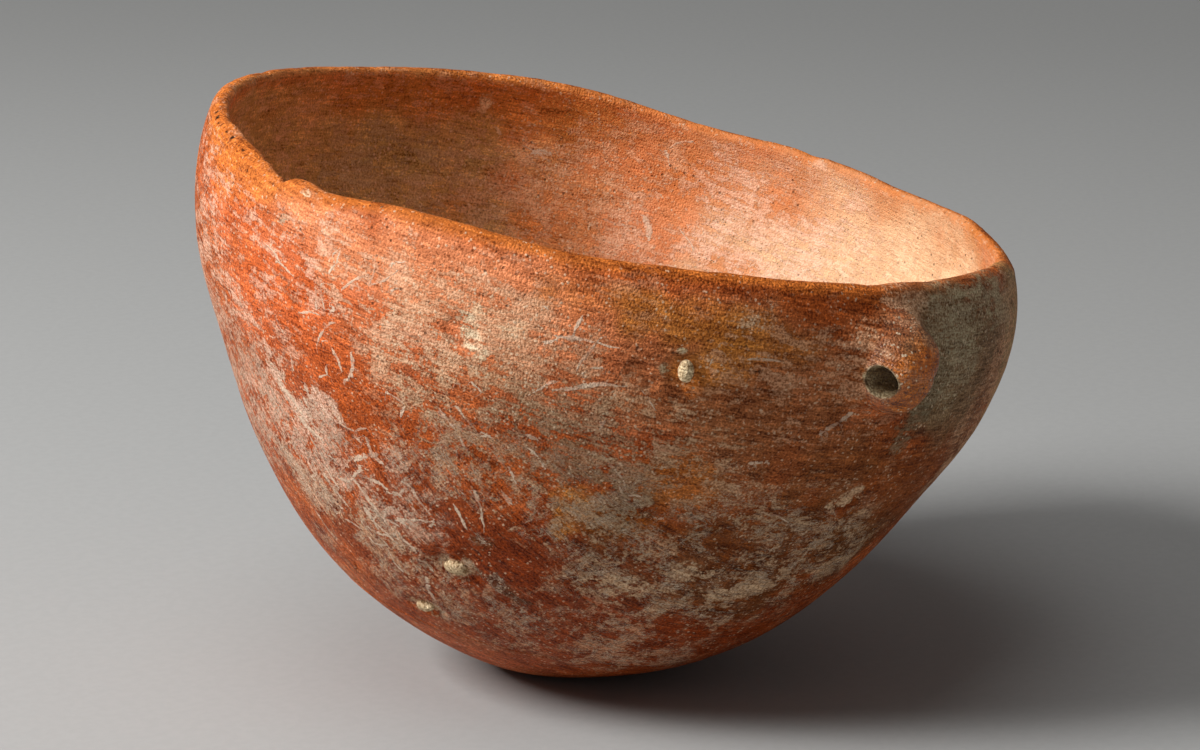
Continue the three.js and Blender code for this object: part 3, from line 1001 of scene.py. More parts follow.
    @staticmethod
    def _write(mesh: bpy.types.Mesh, name: str, kind: str, values: Array) -> None:
        """Stores one value for each point of a mesh, as a named attribute.

        Args:
            mesh: the mesh.
            name: the attribute's name.
            kind: its data type.
            values: one value or row for each point.
        """
        layer = mesh.attributes.new(name, kind, "POINT")
        key = {"FLOAT": "value", "FLOAT_COLOR": "color", "FLOAT_VECTOR": "vector"}[kind]
        layer.data.foreach_set(key, np.ascontiguousarray(values, np.float32).ravel())


class Wire:
    """A shader value. Arithmetic on it adds Math nodes, or Vector Math nodes on a vector."""

    def __init__(self, bench: "Bench", socket: bpy.types.NodeSocket) -> None:
        """Keeps the socket that the value comes out of."""
        self.bench = bench
        self.socket = socket

    def _math(self, operation: str, a: "Wire | float", b: "Wire | float") -> "Wire":
        """A Math node's result for two values."""
        return self.bench.node("ShaderNodeMath", {"operation": operation}, {0: a, 1: b})

    def __add__(self, other: "Wire | float") -> "Wire":
        """The sum."""
        return self._math("ADD", self, other)

    def __sub__(self, other: "Wire | float") -> "Wire":
        """The difference."""
        return self._math("SUBTRACT", self, other)

    def __rsub__(self, other: "Wire | float") -> "Wire":
        """The difference from a number."""
        return self._math("SUBTRACT", other, self)

    def __mul__(self, other: "Wire | float") -> "Wire":
        """The product."""
        return self._math("MULTIPLY", self, other)

    __radd__ = __add__
    __rmul__ = __mul__

    def larger(self, other: "Wire | float") -> "Wire":
        """The larger of two values."""
        return self._math("MAXIMUM", self, other)

    def size(self) -> "Wire":
        """The value without its sign."""
        return self._math("ABSOLUTE", self, 0.0)

    def step(self, low: float, high: float, start: float = 0.0, end: float = 1.0) -> "Wire":
        """A soft step from start to end, as the value goes from low to high.

        Args:
            low: the value at which the step begins.
            high: the value at which it ends.
            start: the result up to low.
            end: the result from high on.

        Returns:
            The stepped value.
        """
        return self.bench.node(
            "ShaderNodeMapRange",
            {"interpolation_type": "SMOOTHSTEP"},
            {"Value": self, "From Min": low, "From Max": high, "To Min": start, "To Max": end},
        )


class Bench:
    """The node tree of a material or of the world, and the one way that nodes are added to it."""

    def __init__(self, holder: bpy.types.Material | bpy.types.World) -> None:
        """Empties the tree of a new material or world.

        Args:
            holder: the material or world.
        """
        self.holder = holder
        holder.use_nodes = True
        self.tree = holder.node_tree
        self.tree.nodes.clear()

    def node(self, kind: str, settings: dict | None = None, values: dict | None = None,
             output: int | str = 0) -> Wire:
        """Adds a node, makes its settings, and sets or links its sockets.

        Args:
            kind: the node's type.
            settings: its settings, made first.
            values: numbers, colours or wires, by socket name or number.
            output: which output the wire comes out of.

        Returns:
            The wire from that output.
        """
        made = self.tree.nodes.new(kind)
        for name, setting in (settings or {}).items():
            setattr(made, name, setting)
        for key, value in (values or {}).items():
            if isinstance(value, Wire):
                self.tree.links.new(value.socket, made.inputs[key])
            else:
                made.inputs[key].default_value = value
        return Wire(self, made.outputs[output] if made.outputs else None)

    def split(self, vector: Wire) -> list[Wire]:
        """A vector's three numbers."""
        made = self.node("ShaderNodeSeparateXYZ", {}, {0: vector})
        return [Wire(self, socket) for socket in made.socket.node.outputs]

    def blend(self, share: Wire | float, a: Wire | tuple, b: Wire | tuple, how: str = "MIX") -> Wire:
        """Two colours mixed.

        Args:
            share: how much of b there is.
            a: the first colour.
            b: the second colour.
            how: the blend type.

        Returns:
            The mixed colour.
        """
        settings = {"data_type": "RGBA", "blend_type": how}
        return self.node("ShaderNodeMix", settings, {0: share, 6: a, 7: b}, 2)

    def attribute(self, name: str, output: str) -> Wire:
        """A point attribute's value."""
        return self.node("ShaderNodeAttribute", {"attribute_name": name}, {}, output)

    def drawn_out(self, at: Wire, thin: float, tilt: float = 0.0) -> Wire:
        """Positions in which a pattern becomes thin strokes, tilted about X from level."""
        values = {"Vector": at, "Rotation": (math.radians(tilt), 0, 0), "Scale": (1, 1, 1 / thin)}
        return self.node("ShaderNodeMapping", {"vector_type": "TEXTURE"}, values)

    def noise(self, at: Wire, scale: float, detail: float = 3.0, rough: float = 0.55,
              warp: float = 0.0) -> Wire:
        """Fractal noise from about 0.2 to 0.8, at positions in metres."""
        values = {"Vector": at, "Scale": scale, "Detail": detail, "Roughness": rough, "Distortion": warp}
        return self.node("ShaderNodeTexNoise", {}, values)

    def cells(self, at: Wire, scale: float) -> Wire:
        """The distance to the nearest of points that lie scattered through space."""
        return self.node("ShaderNodeTexVoronoi", {}, {"Vector": at, "Scale": scale}, "Distance")


@dataclass(frozen=True)
class Finish:
    """Slipped, burnished and weathered clay, or lime: the strengths of its coats and its gloss."""

    name: str
    slot: str
    lip: Tone = Tone.OCHRE
    tint: Tone | None = None
    cover: float = 0.0
    dusty: float = 1.0
    roughness: float = 0.52
    specular: float = 0.09
    specks: float = 0.8
    stroke_bump: float = 0.4
    grain_bump: float = 0.4

    def material(self) -> bpy.types.Material:
        """Builds the node tree.

        The slip is mottled, streaked and grained, level above and aslant below. Over it lie crisp dust where
        three noises and the painted amount let it lie, root marks and ravelled lines, small pits painted near
        black as the shade in them, and pale specks. The same masks drive the roughness and the bumps.

        Returns:
            The material.
        """
        b = Bench(bpy.data.materials.new(self.name))
        own = b.attribute("own", "Vector")
        colour, rugged = b.attribute("slip", "Color"), b.attribute("slip", "Alpha")
        dust = b.attribute("dust", "Color")
        amount = b.attribute("dust", "Alpha")
        low = b.split(own)[2].step(-0.022, -0.05) * rugged.step(0.72, 0.9)

        broad = b.noise(own, 55, 3, 0.55)
        blots = b.noise(b.drawn_out(own, 1.8), 150, 6, 0.65, 0.5)
        grain = b.noise(own, 2200, 1, 0.5)
        level = b.noise(b.drawn_out(own, 12, 2), 100, 5, 0.65, 0.3)
        aslant = b.noise(b.drawn_out(own, 10, 48), 110, 5, 0.65, 0.4)
        strokes = level + (aslant - level) * low
        level = b.noise(b.drawn_out(own, 7, -3), 260, 3, 0.65, 0.6)
        aslant = b.noise(b.drawn_out(own, 7, 54), 260, 3, 0.65, 0.6)
        scratches = level + (aslant - level) * low

        uneven = (blots * 0.9 + strokes * 1.3 + scratches * 1.1 + grain * 1.3 - 2.3) * rugged
        colour = b.blend(uneven.step(0.0, 0.42), colour, (0.36, 0.26, 0.17, 1), "MULTIPLY")
        colour = b.blend(uneven.step(0.0, -0.42), colour, (1.9, 2.1, 2.3, 1), "MULTIPLY")

        flecks = b.noise(own, 900, 3, 0.65, 0.4)
        patchy = b.noise(own, 125, 9, 0.72, 0.7)
        hairs = b.noise(b.drawn_out(own, 6, 52), 150, 5, 0.65, 0.5)
        roots = b.noise(b.drawn_out(own, 5, -42), 170, 5, 0.65, 0.5)
        wipes = b.noise(b.drawn_out(own, 6, 6), 120, 5, 0.65, 0.4)
        drawn = wipes + (hairs.larger(roots) - wipes - 0.02) * low
        worn = patchy * 0.9 + drawn * 0.75 + flecks * 0.5 + amount * 0.18 - 1.17
        crisp = worn.step(0.0, 0.025) * (amount.step(0.0, 0.25) * 0.5 + amount * 0.35)
        crisp = crisp * scratches.step(0.6, 0.42, 0.55, 1.0)
        thick = worn.step(0.07, 0.11)
        veil = crisp.larger(amount * blots.step(0.6, 0.36, 0.0, 0.2))
        shade = b.blend(grain.step(0.46, 0.62, 0.0, 0.9) * rugged, dust, (0.55, 0.42, 0.33, 1), "MULTIPLY")
        shade = b.blend(thick * 0.8, shade, (1.3, 1.38, 1.45, 1), "MULTIPLY")
        colour = b.blend(veil, colour, shade)

        offs, nears = b.split(b.attribute("mark_off", "Vector")), b.split(b.attribute("mark_near", "Vector"))
        ravelled = (hairs - 0.47).size().step(0.016, 0.006).larger((roots - 0.52).size().step(0.014, 0.005))
        traced = ravelled * low * patchy.step(0.44, 0.56) * amount.step(0.1, 0.45) * 0.85
        for off, near in zip(offs, nears):
            strayed = off.size() + (grain - 0.5) * 1.2 + (flecks - 0.5) * 4.5 + (patchy - 0.5) * 7.0
            line = strayed.step(1.2, 0.7) * near.step(0.1, 0.7) * blots.step(0.66, 0.42, 0.2, 0.8)
            traced = line.larger(traced)
        colour = b.blend(traced, colour, (0.88, 0.68, 0.50, 1))

        # Painted shade: small pits, pressed in by the bump, are painted near black as the shade in them.
        pit_shade_dots = b.cells(own, 430).step(0.17, 0.08) * broad.step(0.46, 0.58) * self.specks
        pinhole_shade = b.cells(own, 900).step(0.22, 0.1) * blots.step(0.46, 0.6) * self.specks * 0.8
        dark = pit_shade_dots.larger(pinhole_shade)
        colour = b.blend(dark * 0.85, colour, (0.045, 0.022, 0.012, 1))
        near_cell = b.cells(own, 780) + (grain - 0.5) * 0.5
        sown = blots.step(0.56, 0.44).larger(amount.step(0.3, 0.8))
        light = near_cell.step(0.25, 0.14) * sown * self.specks
        colour = b.blend(light * 0.8, colour, (0.86, 0.64, 0.43, 1))

        rough = (veil * 0.3 + traced * 0.25 + grain * 0.25 + (blots - 0.5) * 0.3) + (self.roughness - 0.15)
        height = (1 - dark) * 0.2 + grain * self.grain_bump + (strokes + scratches) * self.stroke_bump
        height = height + traced * 0.15 + veil * 0.12 + light * 0.1
        bump = b.node("ShaderNodeBump", {}, {"Strength": 1.0, "Distance": 0.0008, "Height": height})
        shader = b.node("ShaderNodeBsdfPrincipled", {},
                        {"Base Color": colour, "Roughness": rough, "Normal": bump,
                         "Specular IOR Level": self.specular})
        b.node("ShaderNodeOutputMaterial", {}, {"Surface": shader})
        return b.holder


SLIP = Finish("red_slip_weathered", "red_slip")
LIP_CLAY = Finish("rim_clay", "orange_lip", lip=Tone.GINGER)
LUG_CLAY = Finish("lug_slip_rubbed", "burnt_lug", roughness=0.3, specular=0.5, dusty=0.45, specks=1.2)
LIME = Finish("lime_grit", "lime", tint=Tone.STONE, cover=0.85, roughness=0.85, specks=0.5)


class Piece:
    """Puts worked-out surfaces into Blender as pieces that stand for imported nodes."""

    @staticmethod
    def make(node: str, points: Array, faces: Array, sharp_rows: Array | None = None,
             triangles: Array | None = None) -> bpy.types.Object:
        """Makes a mesh object named for its node.

        Args:
            node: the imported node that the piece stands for.
            points: positions in millimetres.
            faces: four corners for each face.
            sharp_rows: for each point, the number of the crease it lies on, or -1.
            triangles: three corners for each face of a fan, if there are any.

        Returns:
            The object, smooth but for its creases.
        """
        mesh = bpy.data.meshes.new(node)
        fans = triangles if triangles is not None else np.empty((0, 3), int)
        corners = np.concatenate([faces.ravel(), fans.ravel()])
        counts = np.concatenate([np.full(len(faces), 4), np.full(len(fans), 3)])
        mesh.vertices.add(len(points))
        mesh.vertices.foreach_set("co", (points * MILLIMETRE).astype(np.float32).ravel())
        mesh.loops.add(len(corners))
        mesh.loops.foreach_set("vertex_index", corners.astype(np.int32))
        mesh.polygons.add(len(counts))
        mesh.polygons.foreach_set("loop_start", (np.cumsum(counts) - counts).astype(np.int32))
        mesh.update(calc_edges=True)
        mesh.validate()
        mesh.polygons.foreach_set("use_smooth", np.ones(len(mesh.polygons), bool))
        if sharp_rows is not None:
            ends = np.empty(len(mesh.edges) * 2, np.int32)
            mesh.edges.foreach_get("vertices", ends)
            start, end = sharp_rows[ends[::2]], sharp_rows[ends[1::2]]
            mesh.edges.foreach_set("use_edge_sharp", (start >= 0) & (start == end))
        piece = bpy.data.objects.new(f"{node}_clay", mesh)
        bpy.context.scene.collection.objects.link(piece)
        return piece

    @staticmethod
    def grid_faces(rows: int, columns: int, close_rows: bool) -> Array:
        """The faces of a grid whose columns go all the way round, and whose rows may too.

        Args:
            rows: how many rows of points there are.
            columns: how many points a row has.
            close_rows: whether the last row joins the first.

        Returns:
            Four corners for each face, facing out when rows run up the outside first.
        """
        last = rows if close_rows else rows - 1
        row, column = np.meshgrid(np.arange(last), np.arange(columns), indexing="ij")
        above, beside = (row + 1) % rows, (column + 1) % columns
        corners = [row * columns + column, row * columns + beside,
                   above * columns + beside, above * columns + column]
        return np.stack(corners, -1).reshape(-1, 4)

    @staticmethod
    def end_fans(rows: int, columns: int) -> Array:
        """Triangles that close both ends of a grid round two points numbered just after it.

        Args:
            rows: how many rows of points the grid has.
            columns: how many points a row has.

        Returns:
            Three corners for each triangle: the fan below the first row, then that over the last.
        """
        here = np.arange(columns)
        after = (here + 1) % columns
        last, pole = (rows - 1) * columns, np.full(columns, rows * columns)
        below = np.stack([pole, after, here], -1)
        return np.concatenate([below, np.stack([pole + 1, last + here, last + after], -1)])

    @staticmethod
    def declare(piece: bpy.types.Object, node: str, finish: Finish, material: bpy.types.Material,
                painter: Painter, bare: Array | float = 0.0) -> None:
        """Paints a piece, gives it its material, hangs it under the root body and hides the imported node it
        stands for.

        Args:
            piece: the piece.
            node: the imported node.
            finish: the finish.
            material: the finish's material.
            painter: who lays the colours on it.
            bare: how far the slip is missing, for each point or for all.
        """
        painter.paint(piece, finish, bare)
        piece.data.materials.append(material)
        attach(piece, "root")
        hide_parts(node)
        log.info("%s: %d points, %d faces", piece.name, len(piece.data.vertices), len(piece.data.polygons))


@dataclass
class Wall:
    """The base, the flattened coils and the rim band, which meet without a gap on slanted joints."""

    columns: int = 1080
    base_outer_rows: int = 46
    base_inner_rows: int = 30
    coil_outer_rows: int = 40
    coil_inner_rows: int = 22
    rim_outer_rows: int = 44
    rim_lip_rows: int = 14
    rim_inner_rows: int = 26
    foot_rounding: float = 0.25
    azimuths: Array = field(init=False)

    def __post_init__(self) -> None:
        """Spaces the columns evenly round the bowl."""
        self.azimuths = np.arange(self.columns) * FULL_TURN / self.columns - FULL_TURN / 2

    def _sheet(self, angles: Array, inside: bool) -> Array:
        """A side of the wall as standing points.

        Args:
            angles: one angle for each row, or one for each row and column.
            inside: whether it is the inside.

        Returns:
            Points by row and column: the smooth form moved in by its relief.
        """
        angle = angles if angles.ndim == 2 else np.repeat(angles[:, None], self.columns, 1)
        azimuth = np.broadcast_to(self.azimuths, angle.shape)
        if inside:
            depth = FORM.wall(angle) + RELIEF.inside(azimuth, angle) * -1
        else:
            depth = RELIEF.outside(azimuth, angle)
        return FORM.place(azimuth, angle, depth)

    def base(self) -> bpy.types.Object:
        """The base: both sides from the joint down to the pole, cut off flat where it stands.

        Returns:
            The piece.
        """
        outer_top, inner_top = FORM.joint(FORM.base_angle)
        outer = self._sheet(np.linspace(0, outer_top, self.base_outer_rows + 1)[1:], False)
        inner = self._sheet(np.linspace(inner_top, 0, self.base_inner_rows + 1)[:-1], True)
        outer[..., 2] = self._worn(outer)
        rows = np.concatenate([outer, inner])
        count = len(rows)
        poles = np.stack([outer[0].mean(0), inner[-1].mean(0)])
        points = np.concatenate([rows.reshape(-1, 3), poles])
        creases = np.full(len(points), -1)
        for crease, row in enumerate((self.base_outer_rows - 1, self.base_outer_rows)):
            creases[row * self.columns : (row + 1) * self.columns] = crease
        faces = Piece.grid_faces(count, self.columns, False)
        return Piece.make("base_bowl", points, faces, creases, Piece.end_fans(count, self.columns))

    def _worn(self, points: Array) -> Array:
        """Heights rubbed down to the table: a soft maximum of the height and zero, never below it.

        Args:
            points: positions in millimetres.

        Returns:
            Their new heights.
        """
        soft, height = self.foot_rounding, points[..., 2]
        grit = 0.02 * (1 + Speckle(55).at(points, 1.5, 2)) * np.exp(-np.maximum(height, 0) / soft)
        return np.maximum(0.5 * (height + np.hypot(height, soft) - soft), 0) + np.maximum(grit, 0)

    def coil(self, number: int) -> bpy.types.Object:
        """One flattened coil: up the outside, over its slanted joint and down the inside.

        Args:
            number: the coil's number from the bottom, starting at 1.

        Returns:
            The piece.
        """
        step = (FORM.rim_band_angle - FORM.base_angle) / FORM.coil_count
        low = FORM.joint(FORM.base_angle + (number - 1) * step)
        high = FORM.joint(FORM.base_angle + number * step)
        outer = self._sheet(np.linspace(low[0], high[0], self.coil_outer_rows + 1), False)
        inner = self._sheet(np.linspace(high[1], low[1], self.coil_inner_rows + 1), True)
        return self._ring(f"wall_coil_{number}", [outer, inner])

    def _ring(self, node: str, parts: list[Array]) -> bpy.types.Object:
        """A closed ring from its outside, an optional lip and its inside, creased at its joint faces.

        Args:
            node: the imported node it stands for.
            parts: the rows of points of each part, in order.

        Returns:
            The piece.
        """
        rows = np.concatenate(parts)
        creases = np.full(rows.shape[:2], -1)
        creases[0], creases[-1] = 0, 1
        if len(parts) == 2:
            creases[len(parts[0]) - 1], creases[len(parts[0])] = 2, 3
        faces = Piece.grid_faces(len(rows), self.columns, True)
        return Piece.make(node, rows.reshape(-1, 3), faces, creases.ravel())

    def rim_band(self) -> bpy.types.Object:
        """The rim band, whose lip is half an oval across the wall, worn and nicked.

        Returns:
            The piece.
        """
        low = FORM.joint(FORM.rim_band_angle)
        top = LIP.top(self.azimuths)
        start = top - np.degrees(FORM.lip_rounding / FORM.outer_radius(self.azimuths, top))
        up = np.linspace(0, 1, self.rim_outer_rows + 1)[:, None]
        down = np.linspace(0, 1, self.rim_inner_rows + 1)[:, None]
        outer = self._sheet(mix(low[0], start, up), False)
        inner = self._sheet(mix(start, low[1], down), True)
        turn = np.pi * np.arange(1, self.rim_lip_rows + 1)[:, None] / (self.rim_lip_rows + 1)
        azimuth = np.broadcast_to(self.azimuths, (self.rim_lip_rows, self.columns))
        angle = start + (top - start) * np.sin(turn)
        outside = RELIEF.outside(self.azimuths, start)
        inside = FORM.wall(start) - RELIEF.inside(self.azimuths, start)
        across = (1 - np.cos(turn)) / 2
        rough = 0.10 * Speckle(61).at(FORM.upright(azimuth, angle, across), 1.6, 2) * np.sin(turn)
        lip = FORM.place(azimuth, angle, mix(outside, inside, across) + rough)
        return self._ring("rim_band", [outer, lip, inner])

    def build(self, painter: Painter) -> None:
        """Makes and dresses every piece of the wall.

        Args:
            painter: who lays the colours on it.
        """
        slip, lip = SLIP.material(), LIP_CLAY.material()
        Piece.declare(self.base(), "base_bowl", SLIP, slip, painter)
        for number in range(1, FORM.coil_count + 1):
            Piece.declare(self.coil(number), f"wall_coil_{number}", SLIP, slip, painter)
        Piece.declare(self.rim_band(), "rim_band", LIP_CLAY, lip, painter)


@dataclass
class Lug:
    """The pierced nose-shaped knob and the clay smeared round its root, as one flowing mound."""

    azimuth: float = -92.5
    angle: float = 87.5
    width: float = 16
    above: float = 10
    below: float = 10
    proud: float = 9.5
    edge: float = 0.7
    collar_width: float = 3.5
    collar_height: float = 2.6
    collar_above: float = 2.2
    collar_edge: float = 0.8
    smear: float = 5.0
    ridge_lean: float = 0.38
    hole_diameter: float = 6.4
    hole_from_wall: float = 4.2
    hole_drop: float = 1.5
    flare: float = 0.3
    thumb_depth: float = 1.5
    thumb_aside: float = 10.5
    thumb_size: tuple[float, float] = (3.4, 4.5)
    sunk: float = 0.9
    turns: int = 220
    lug_rings: int = 70
    collar_rings: int = 34

    def _near(self, along: Array, up: Array, out: Array, follow: Array | float = 0.0) -> Array:
        """A standing point over the wall by the lug.

        Args:
            along: millimetres along the wall, round the bowl.
            up: millimetres up it.
            out: millimetres out from it.
            follow: how far the point sinks with the wall's own relief, from 0 to 1.

        Returns:
            The position.
        """
        radius = FORM.outer_radius(np.array(self.azimuth), np.array(self.angle))
        angle = self.angle + np.degrees(up / radius)
        azimuth = self.azimuth + np.degrees(along / (radius * np.sin(np.radians(angle))))
        sunk = RELIEF.outside(azimuth, angle) * follow if np.ndim(follow) else 0.0
        return FORM.place(azimuth, angle, sunk - out)

    def _reach(self, turn: Array, extra: float, extra_above: float,
               smear: float = 0.0) -> tuple[Array, Array]:
        """An oval's reach to a side, longer on the smeared left, and up or down from the peak.

        Args:
            turn: radians round the oval, from the right side up.
            extra: millimetres past the knob, to the sides and below.
            extra_above: millimetres past it above.
            smear: millimetres more on the left.

        Returns:
            The along and up values in millimetres.
        """
        side = np.where(np.cos(turn) < 0, self.width / 2 + extra + smear, self.width / 2 + extra)
        height = np.where(np.sin(turn) > 0, self.above + extra_above, self.below + extra)
        return side * np.cos(turn), height * np.sin(turn)

    def _height(self, along: Array, up: Array) -> Array:
        """The mound's height over the wall.

        A soft maximum of the knob, which is domed below and runs up as a ridge that leans to the
        right, and of the smeared collar, which fades into the wall; both are lumpy. A thumb's dip
        lies before the string hole.

        Args:
            along: millimetres along the wall from the peak.
            up: millimetres up the wall from it.

        Returns:
            Heights in millimetres.
        """
        rise = np.maximum(up, 0)
        aside = along - self.ridge_lean * rise
        half = self.width / 2 + np.where(aside > 0, -0.16, 0.75) * rise
        share = np.hypot(aside / half, up / np.where(up > 0, self.above + 0.8, self.below))
        sine = up / self.above / np.maximum(share, 1e-9)
        upward = np.clip(sine, 0, 1) ** 2
        inner = np.clip(1 - np.minimum(share, 1) ** mix(2.4, 1.5, upward), 0, 1)
        flank = np.clip(-aside / half / np.maximum(share, 1e-9), 0, 1) * np.clip(up / self.above, 0, 1)
        knob = self.edge + (self.proud - self.edge) * inner ** (mix(0.5, 0.9, upward) + 0.9 * flank)
        knob -= 3.0 * np.maximum(share - 1, 0)
        wide = self._wide_share(along, up)
        collar = self.collar_edge + self.collar_height * (1 - wide**2)
        soft = 2.2
        height = 0.5 * (0.95 * knob + collar + np.hypot(0.95 * knob - collar, soft)) - 0.2
        fade = 1 - smoothstep(0.6, 1.0, wide)
        at = np.stack([along, up, np.zeros_like(up)], -1)
        lumps = 0.32 * (Speckle(71).at(at, 4.5, 3) - 0.8) + 0.1 * (Speckle(72).at(at, 1.3, 3) - 1)
        wide_thumb, high_thumb = self.thumb_size
        thumb = ((along + self.thumb_aside) / wide_thumb) ** 2 + ((up + self.hole_drop) / high_thumb) ** 2
        height -= self.thumb_depth * np.exp(-thumb)
        return (height + lumps * smoothstep(0, 2.5, height)) * fade - 0.1 * smoothstep(0.93, 1, wide)

    def _wide_share(self, along: Array, up: Array) -> Array:
        """How far a place lies on the way from the peak to the collar's edge, from 0 to 1.

        Args:
            along: millimetres along the wall from the peak.
            up: millimetres up the wall from it.

        Returns:
            The share of the way.
        """
        across = np.where(along < 0, self.smear, 0) + self.width / 2 + self.collar_width
        reach = np.where(up > 0, self.above + self.collar_above, self.below + self.collar_width)
        return np.hypot(along / across, up / reach)

    def _mound(self, node: str, inner: Array, outer: Array, rings: int, pole: bool) -> bpy.types.Object:
        """A closed piece of the mound between two ovals, with its underside sunk into the wall.

        Args:
            node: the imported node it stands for.
            inner: the inner oval's along and up values.
            outer: the outer oval's.
            rings: how many rings of faces its top has.
            pole: whether the inner oval is a single point.

        Returns:
            The piece.
        """
        share = np.linspace(1, 0, rings + 1)[:, None, None]
        flat = mix(inner, outer, share)
        follow = smoothstep(0.2, 0.8, self._wide_share(flat[..., 0], flat[..., 1]))
        top = self._near(flat[..., 0], flat[..., 1], self._height(flat[..., 0], flat[..., 1]), follow)
        under_flat = flat[:: -(rings // 4)] if rings % 4 == 0 else flat[::-1]
        sunk = np.full(under_flat.shape[:2], -self.sunk)
        under = self._near(under_flat[..., 0], under_flat[..., 1], sunk)
        rows = np.concatenate([top, under])
        count = len(rows)
        creases = np.full(count * self.turns, -1)
        for crease, row in enumerate((0, len(top) - 1, len(top), count - 1)):
            if pole and row in (len(top) - 1, len(top)):
                continue
            creases[row * self.turns : (row + 1) * self.turns] = crease
        if not pole:
            faces = Piece.grid_faces(count, self.turns, True)
            return Piece.make(node, rows.reshape(-1, 3), faces, creases)
        return self._capped(node, rows, len(top))

    def _capped(self, node: str, rows: Array, top_rows: int) -> bpy.types.Object:
        """A closed mound whose top and underside each end in a fan round one point.

        Args:
            node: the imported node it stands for.
            rows: rings of points, out from the foot and back.
            top_rows: how many of the rings are the top's.

        Returns:
            The piece.
        """
        upper, lower = rows[: top_rows - 1], rows[top_rows + 1 :]
        poles = np.stack([rows[top_rows - 1].mean(0), rows[top_rows].mean(0)])
        upper_count, lower_count = len(upper), len(lower)
        points = np.concatenate([upper.reshape(-1, 3), lower.reshape(-1, 3), poles])
        here = np.arange(self.turns)
        after = (here + 1) % self.turns
        last_upper = (upper_count - 1) * self.turns
        first_lower = upper_count * self.turns
        last_lower = (upper_count + lower_count - 1) * self.turns
        upper_faces = Piece.grid_faces(upper_count, self.turns, False)
        lower_faces = Piece.grid_faces(lower_count, self.turns, False) + first_lower
        side = np.stack([last_lower + here, last_lower + after, after, here], -1)
        pole_index = (upper_count + lower_count) * self.turns
        top_fan = np.stack([np.full(self.turns, pole_index), last_upper + here, last_upper + after], -1)
        lower_pole = np.full(self.turns, pole_index + 1)
        under_fan = np.stack([lower_pole, first_lower + after, first_lower + here], -1)
        creases = np.full(len(points), -1)
        creases[: self.turns] = 0
        creases[last_lower : last_lower + self.turns] = 1
        faces = np.concatenate([upper_faces, lower_faces, side])
        return Piece.make(node, points, faces, creases, np.concatenate([top_fan, under_fan]))

    def _string_hole(self) -> bpy.types.Object:
        """A cutter along X: a rod whose radius grows towards both mouths with the sixth power.

        Returns:
            The rod, closed at both ends.
        """
        middle = self._hole_middle()
        half = self.width / 2 + self.collar_width + self.hole_diameter
        steps, columns = 60, 64
        run = np.linspace(-1, 1, steps + 1)[:, None]
        turn = np.linspace(0, 2 * np.pi, columns, endpoint=False)[None, :]
        wobble = 1 + 0.02 * np.sin(2 * turn + 3 * run) + 0.01 * np.sin(5 * turn - 4 * run)
        mouth = np.abs(run * half) / (self.width / 2)
        radius = (self.hole_diameter / 2 - 0.1 + self.flare * np.minimum(mouth, 1.2) ** 6 * 0.5) * wobble
        x = middle[0] + run * half + 0 * turn
        y = middle[1] + radius * np.cos(turn) - 0.25 * np.minimum(mouth, 1.3) ** 3
        z = middle[2] + radius * np.sin(turn)
        rows = np.stack([x, y, z], -1)
        count = len(rows)
        points = np.concatenate([rows.reshape(-1, 3), rows[[0, -1]].mean(1)])
        fans = Piece.end_fans(count, columns)
        return Piece.make("string_hole_cutter", points, Piece.grid_faces(count, columns, False), None, fans)

    def _pierce(self, piece: bpy.types.Object, cutter: bpy.types.Object) -> None:
        """Cuts the string hole through a piece and keeps the result as its mesh.

        Args:
            piece: the piece.
            cutter: the rod.
        """
        cut = piece.modifiers.new("pierce", "BOOLEAN")
        cut.operation, cut.solver, cut.object = "DIFFERENCE", "EXACT", cutter
        shaped = piece.evaluated_get(bpy.context.evaluated_depsgraph_get())
        mesh = bpy.data.meshes.new_from_object(shaped)
        piece.modifiers.clear()
        piece.data = mesh
        mesh.name = piece.name
        mesh.polygons.foreach_set("use_smooth", np.ones(len(mesh.polygons), bool))
        mesh.set_sharp_from_angle(angle=math.radians(38))

    def _hole_middle(self) -> Array:
        """The middle of the string hole."""
        return self._near(np.array(0.0), np.array(-self.hole_drop), np.array(self.hole_from_wall))

    def _bored(self, piece: bpy.types.Object) -> Array:
        """How far each point of a piece lies in the string hole's bare clay: by distance from its axis."""
        away = (Painter.positions(piece.data) - self._hole_middle())[:, 1:]
        return 1 - smoothstep(self.hole_diameter / 2 - 0.05, self.hole_diameter / 2 + 0.4, np.hypot(*away.T))

    def build(self, painter: Painter) -> None:
        """Makes, pierces and dresses the lug and its collar.

        Args:
            painter: who lays the colours on them.
        """
        turn = np.linspace(0, 2 * np.pi, self.turns, endpoint=False)
        edge = np.stack(self._reach(turn, 0.0, 0.0), -1)
        foot = np.stack(self._reach(turn, self.collar_width, self.collar_above, self.smear), -1)
        cutter = self._string_hole()
        lug = self._mound("lug", np.zeros_like(edge), edge, self.lug_rings, True)
        collar = self._mound("lug_collar", edge, foot, self.collar_rings, False)
        for piece in (lug, collar):
            self._pierce(piece, cutter)
        bpy.data.objects.remove(cutter)
        Piece.declare(lug, "lug", LUG_CLAY, LUG_CLAY.material(), painter, self._bored(lug))
        Piece.declare(collar, "lug_collar", SLIP, SLIP.material(), painter, self._bored(collar))


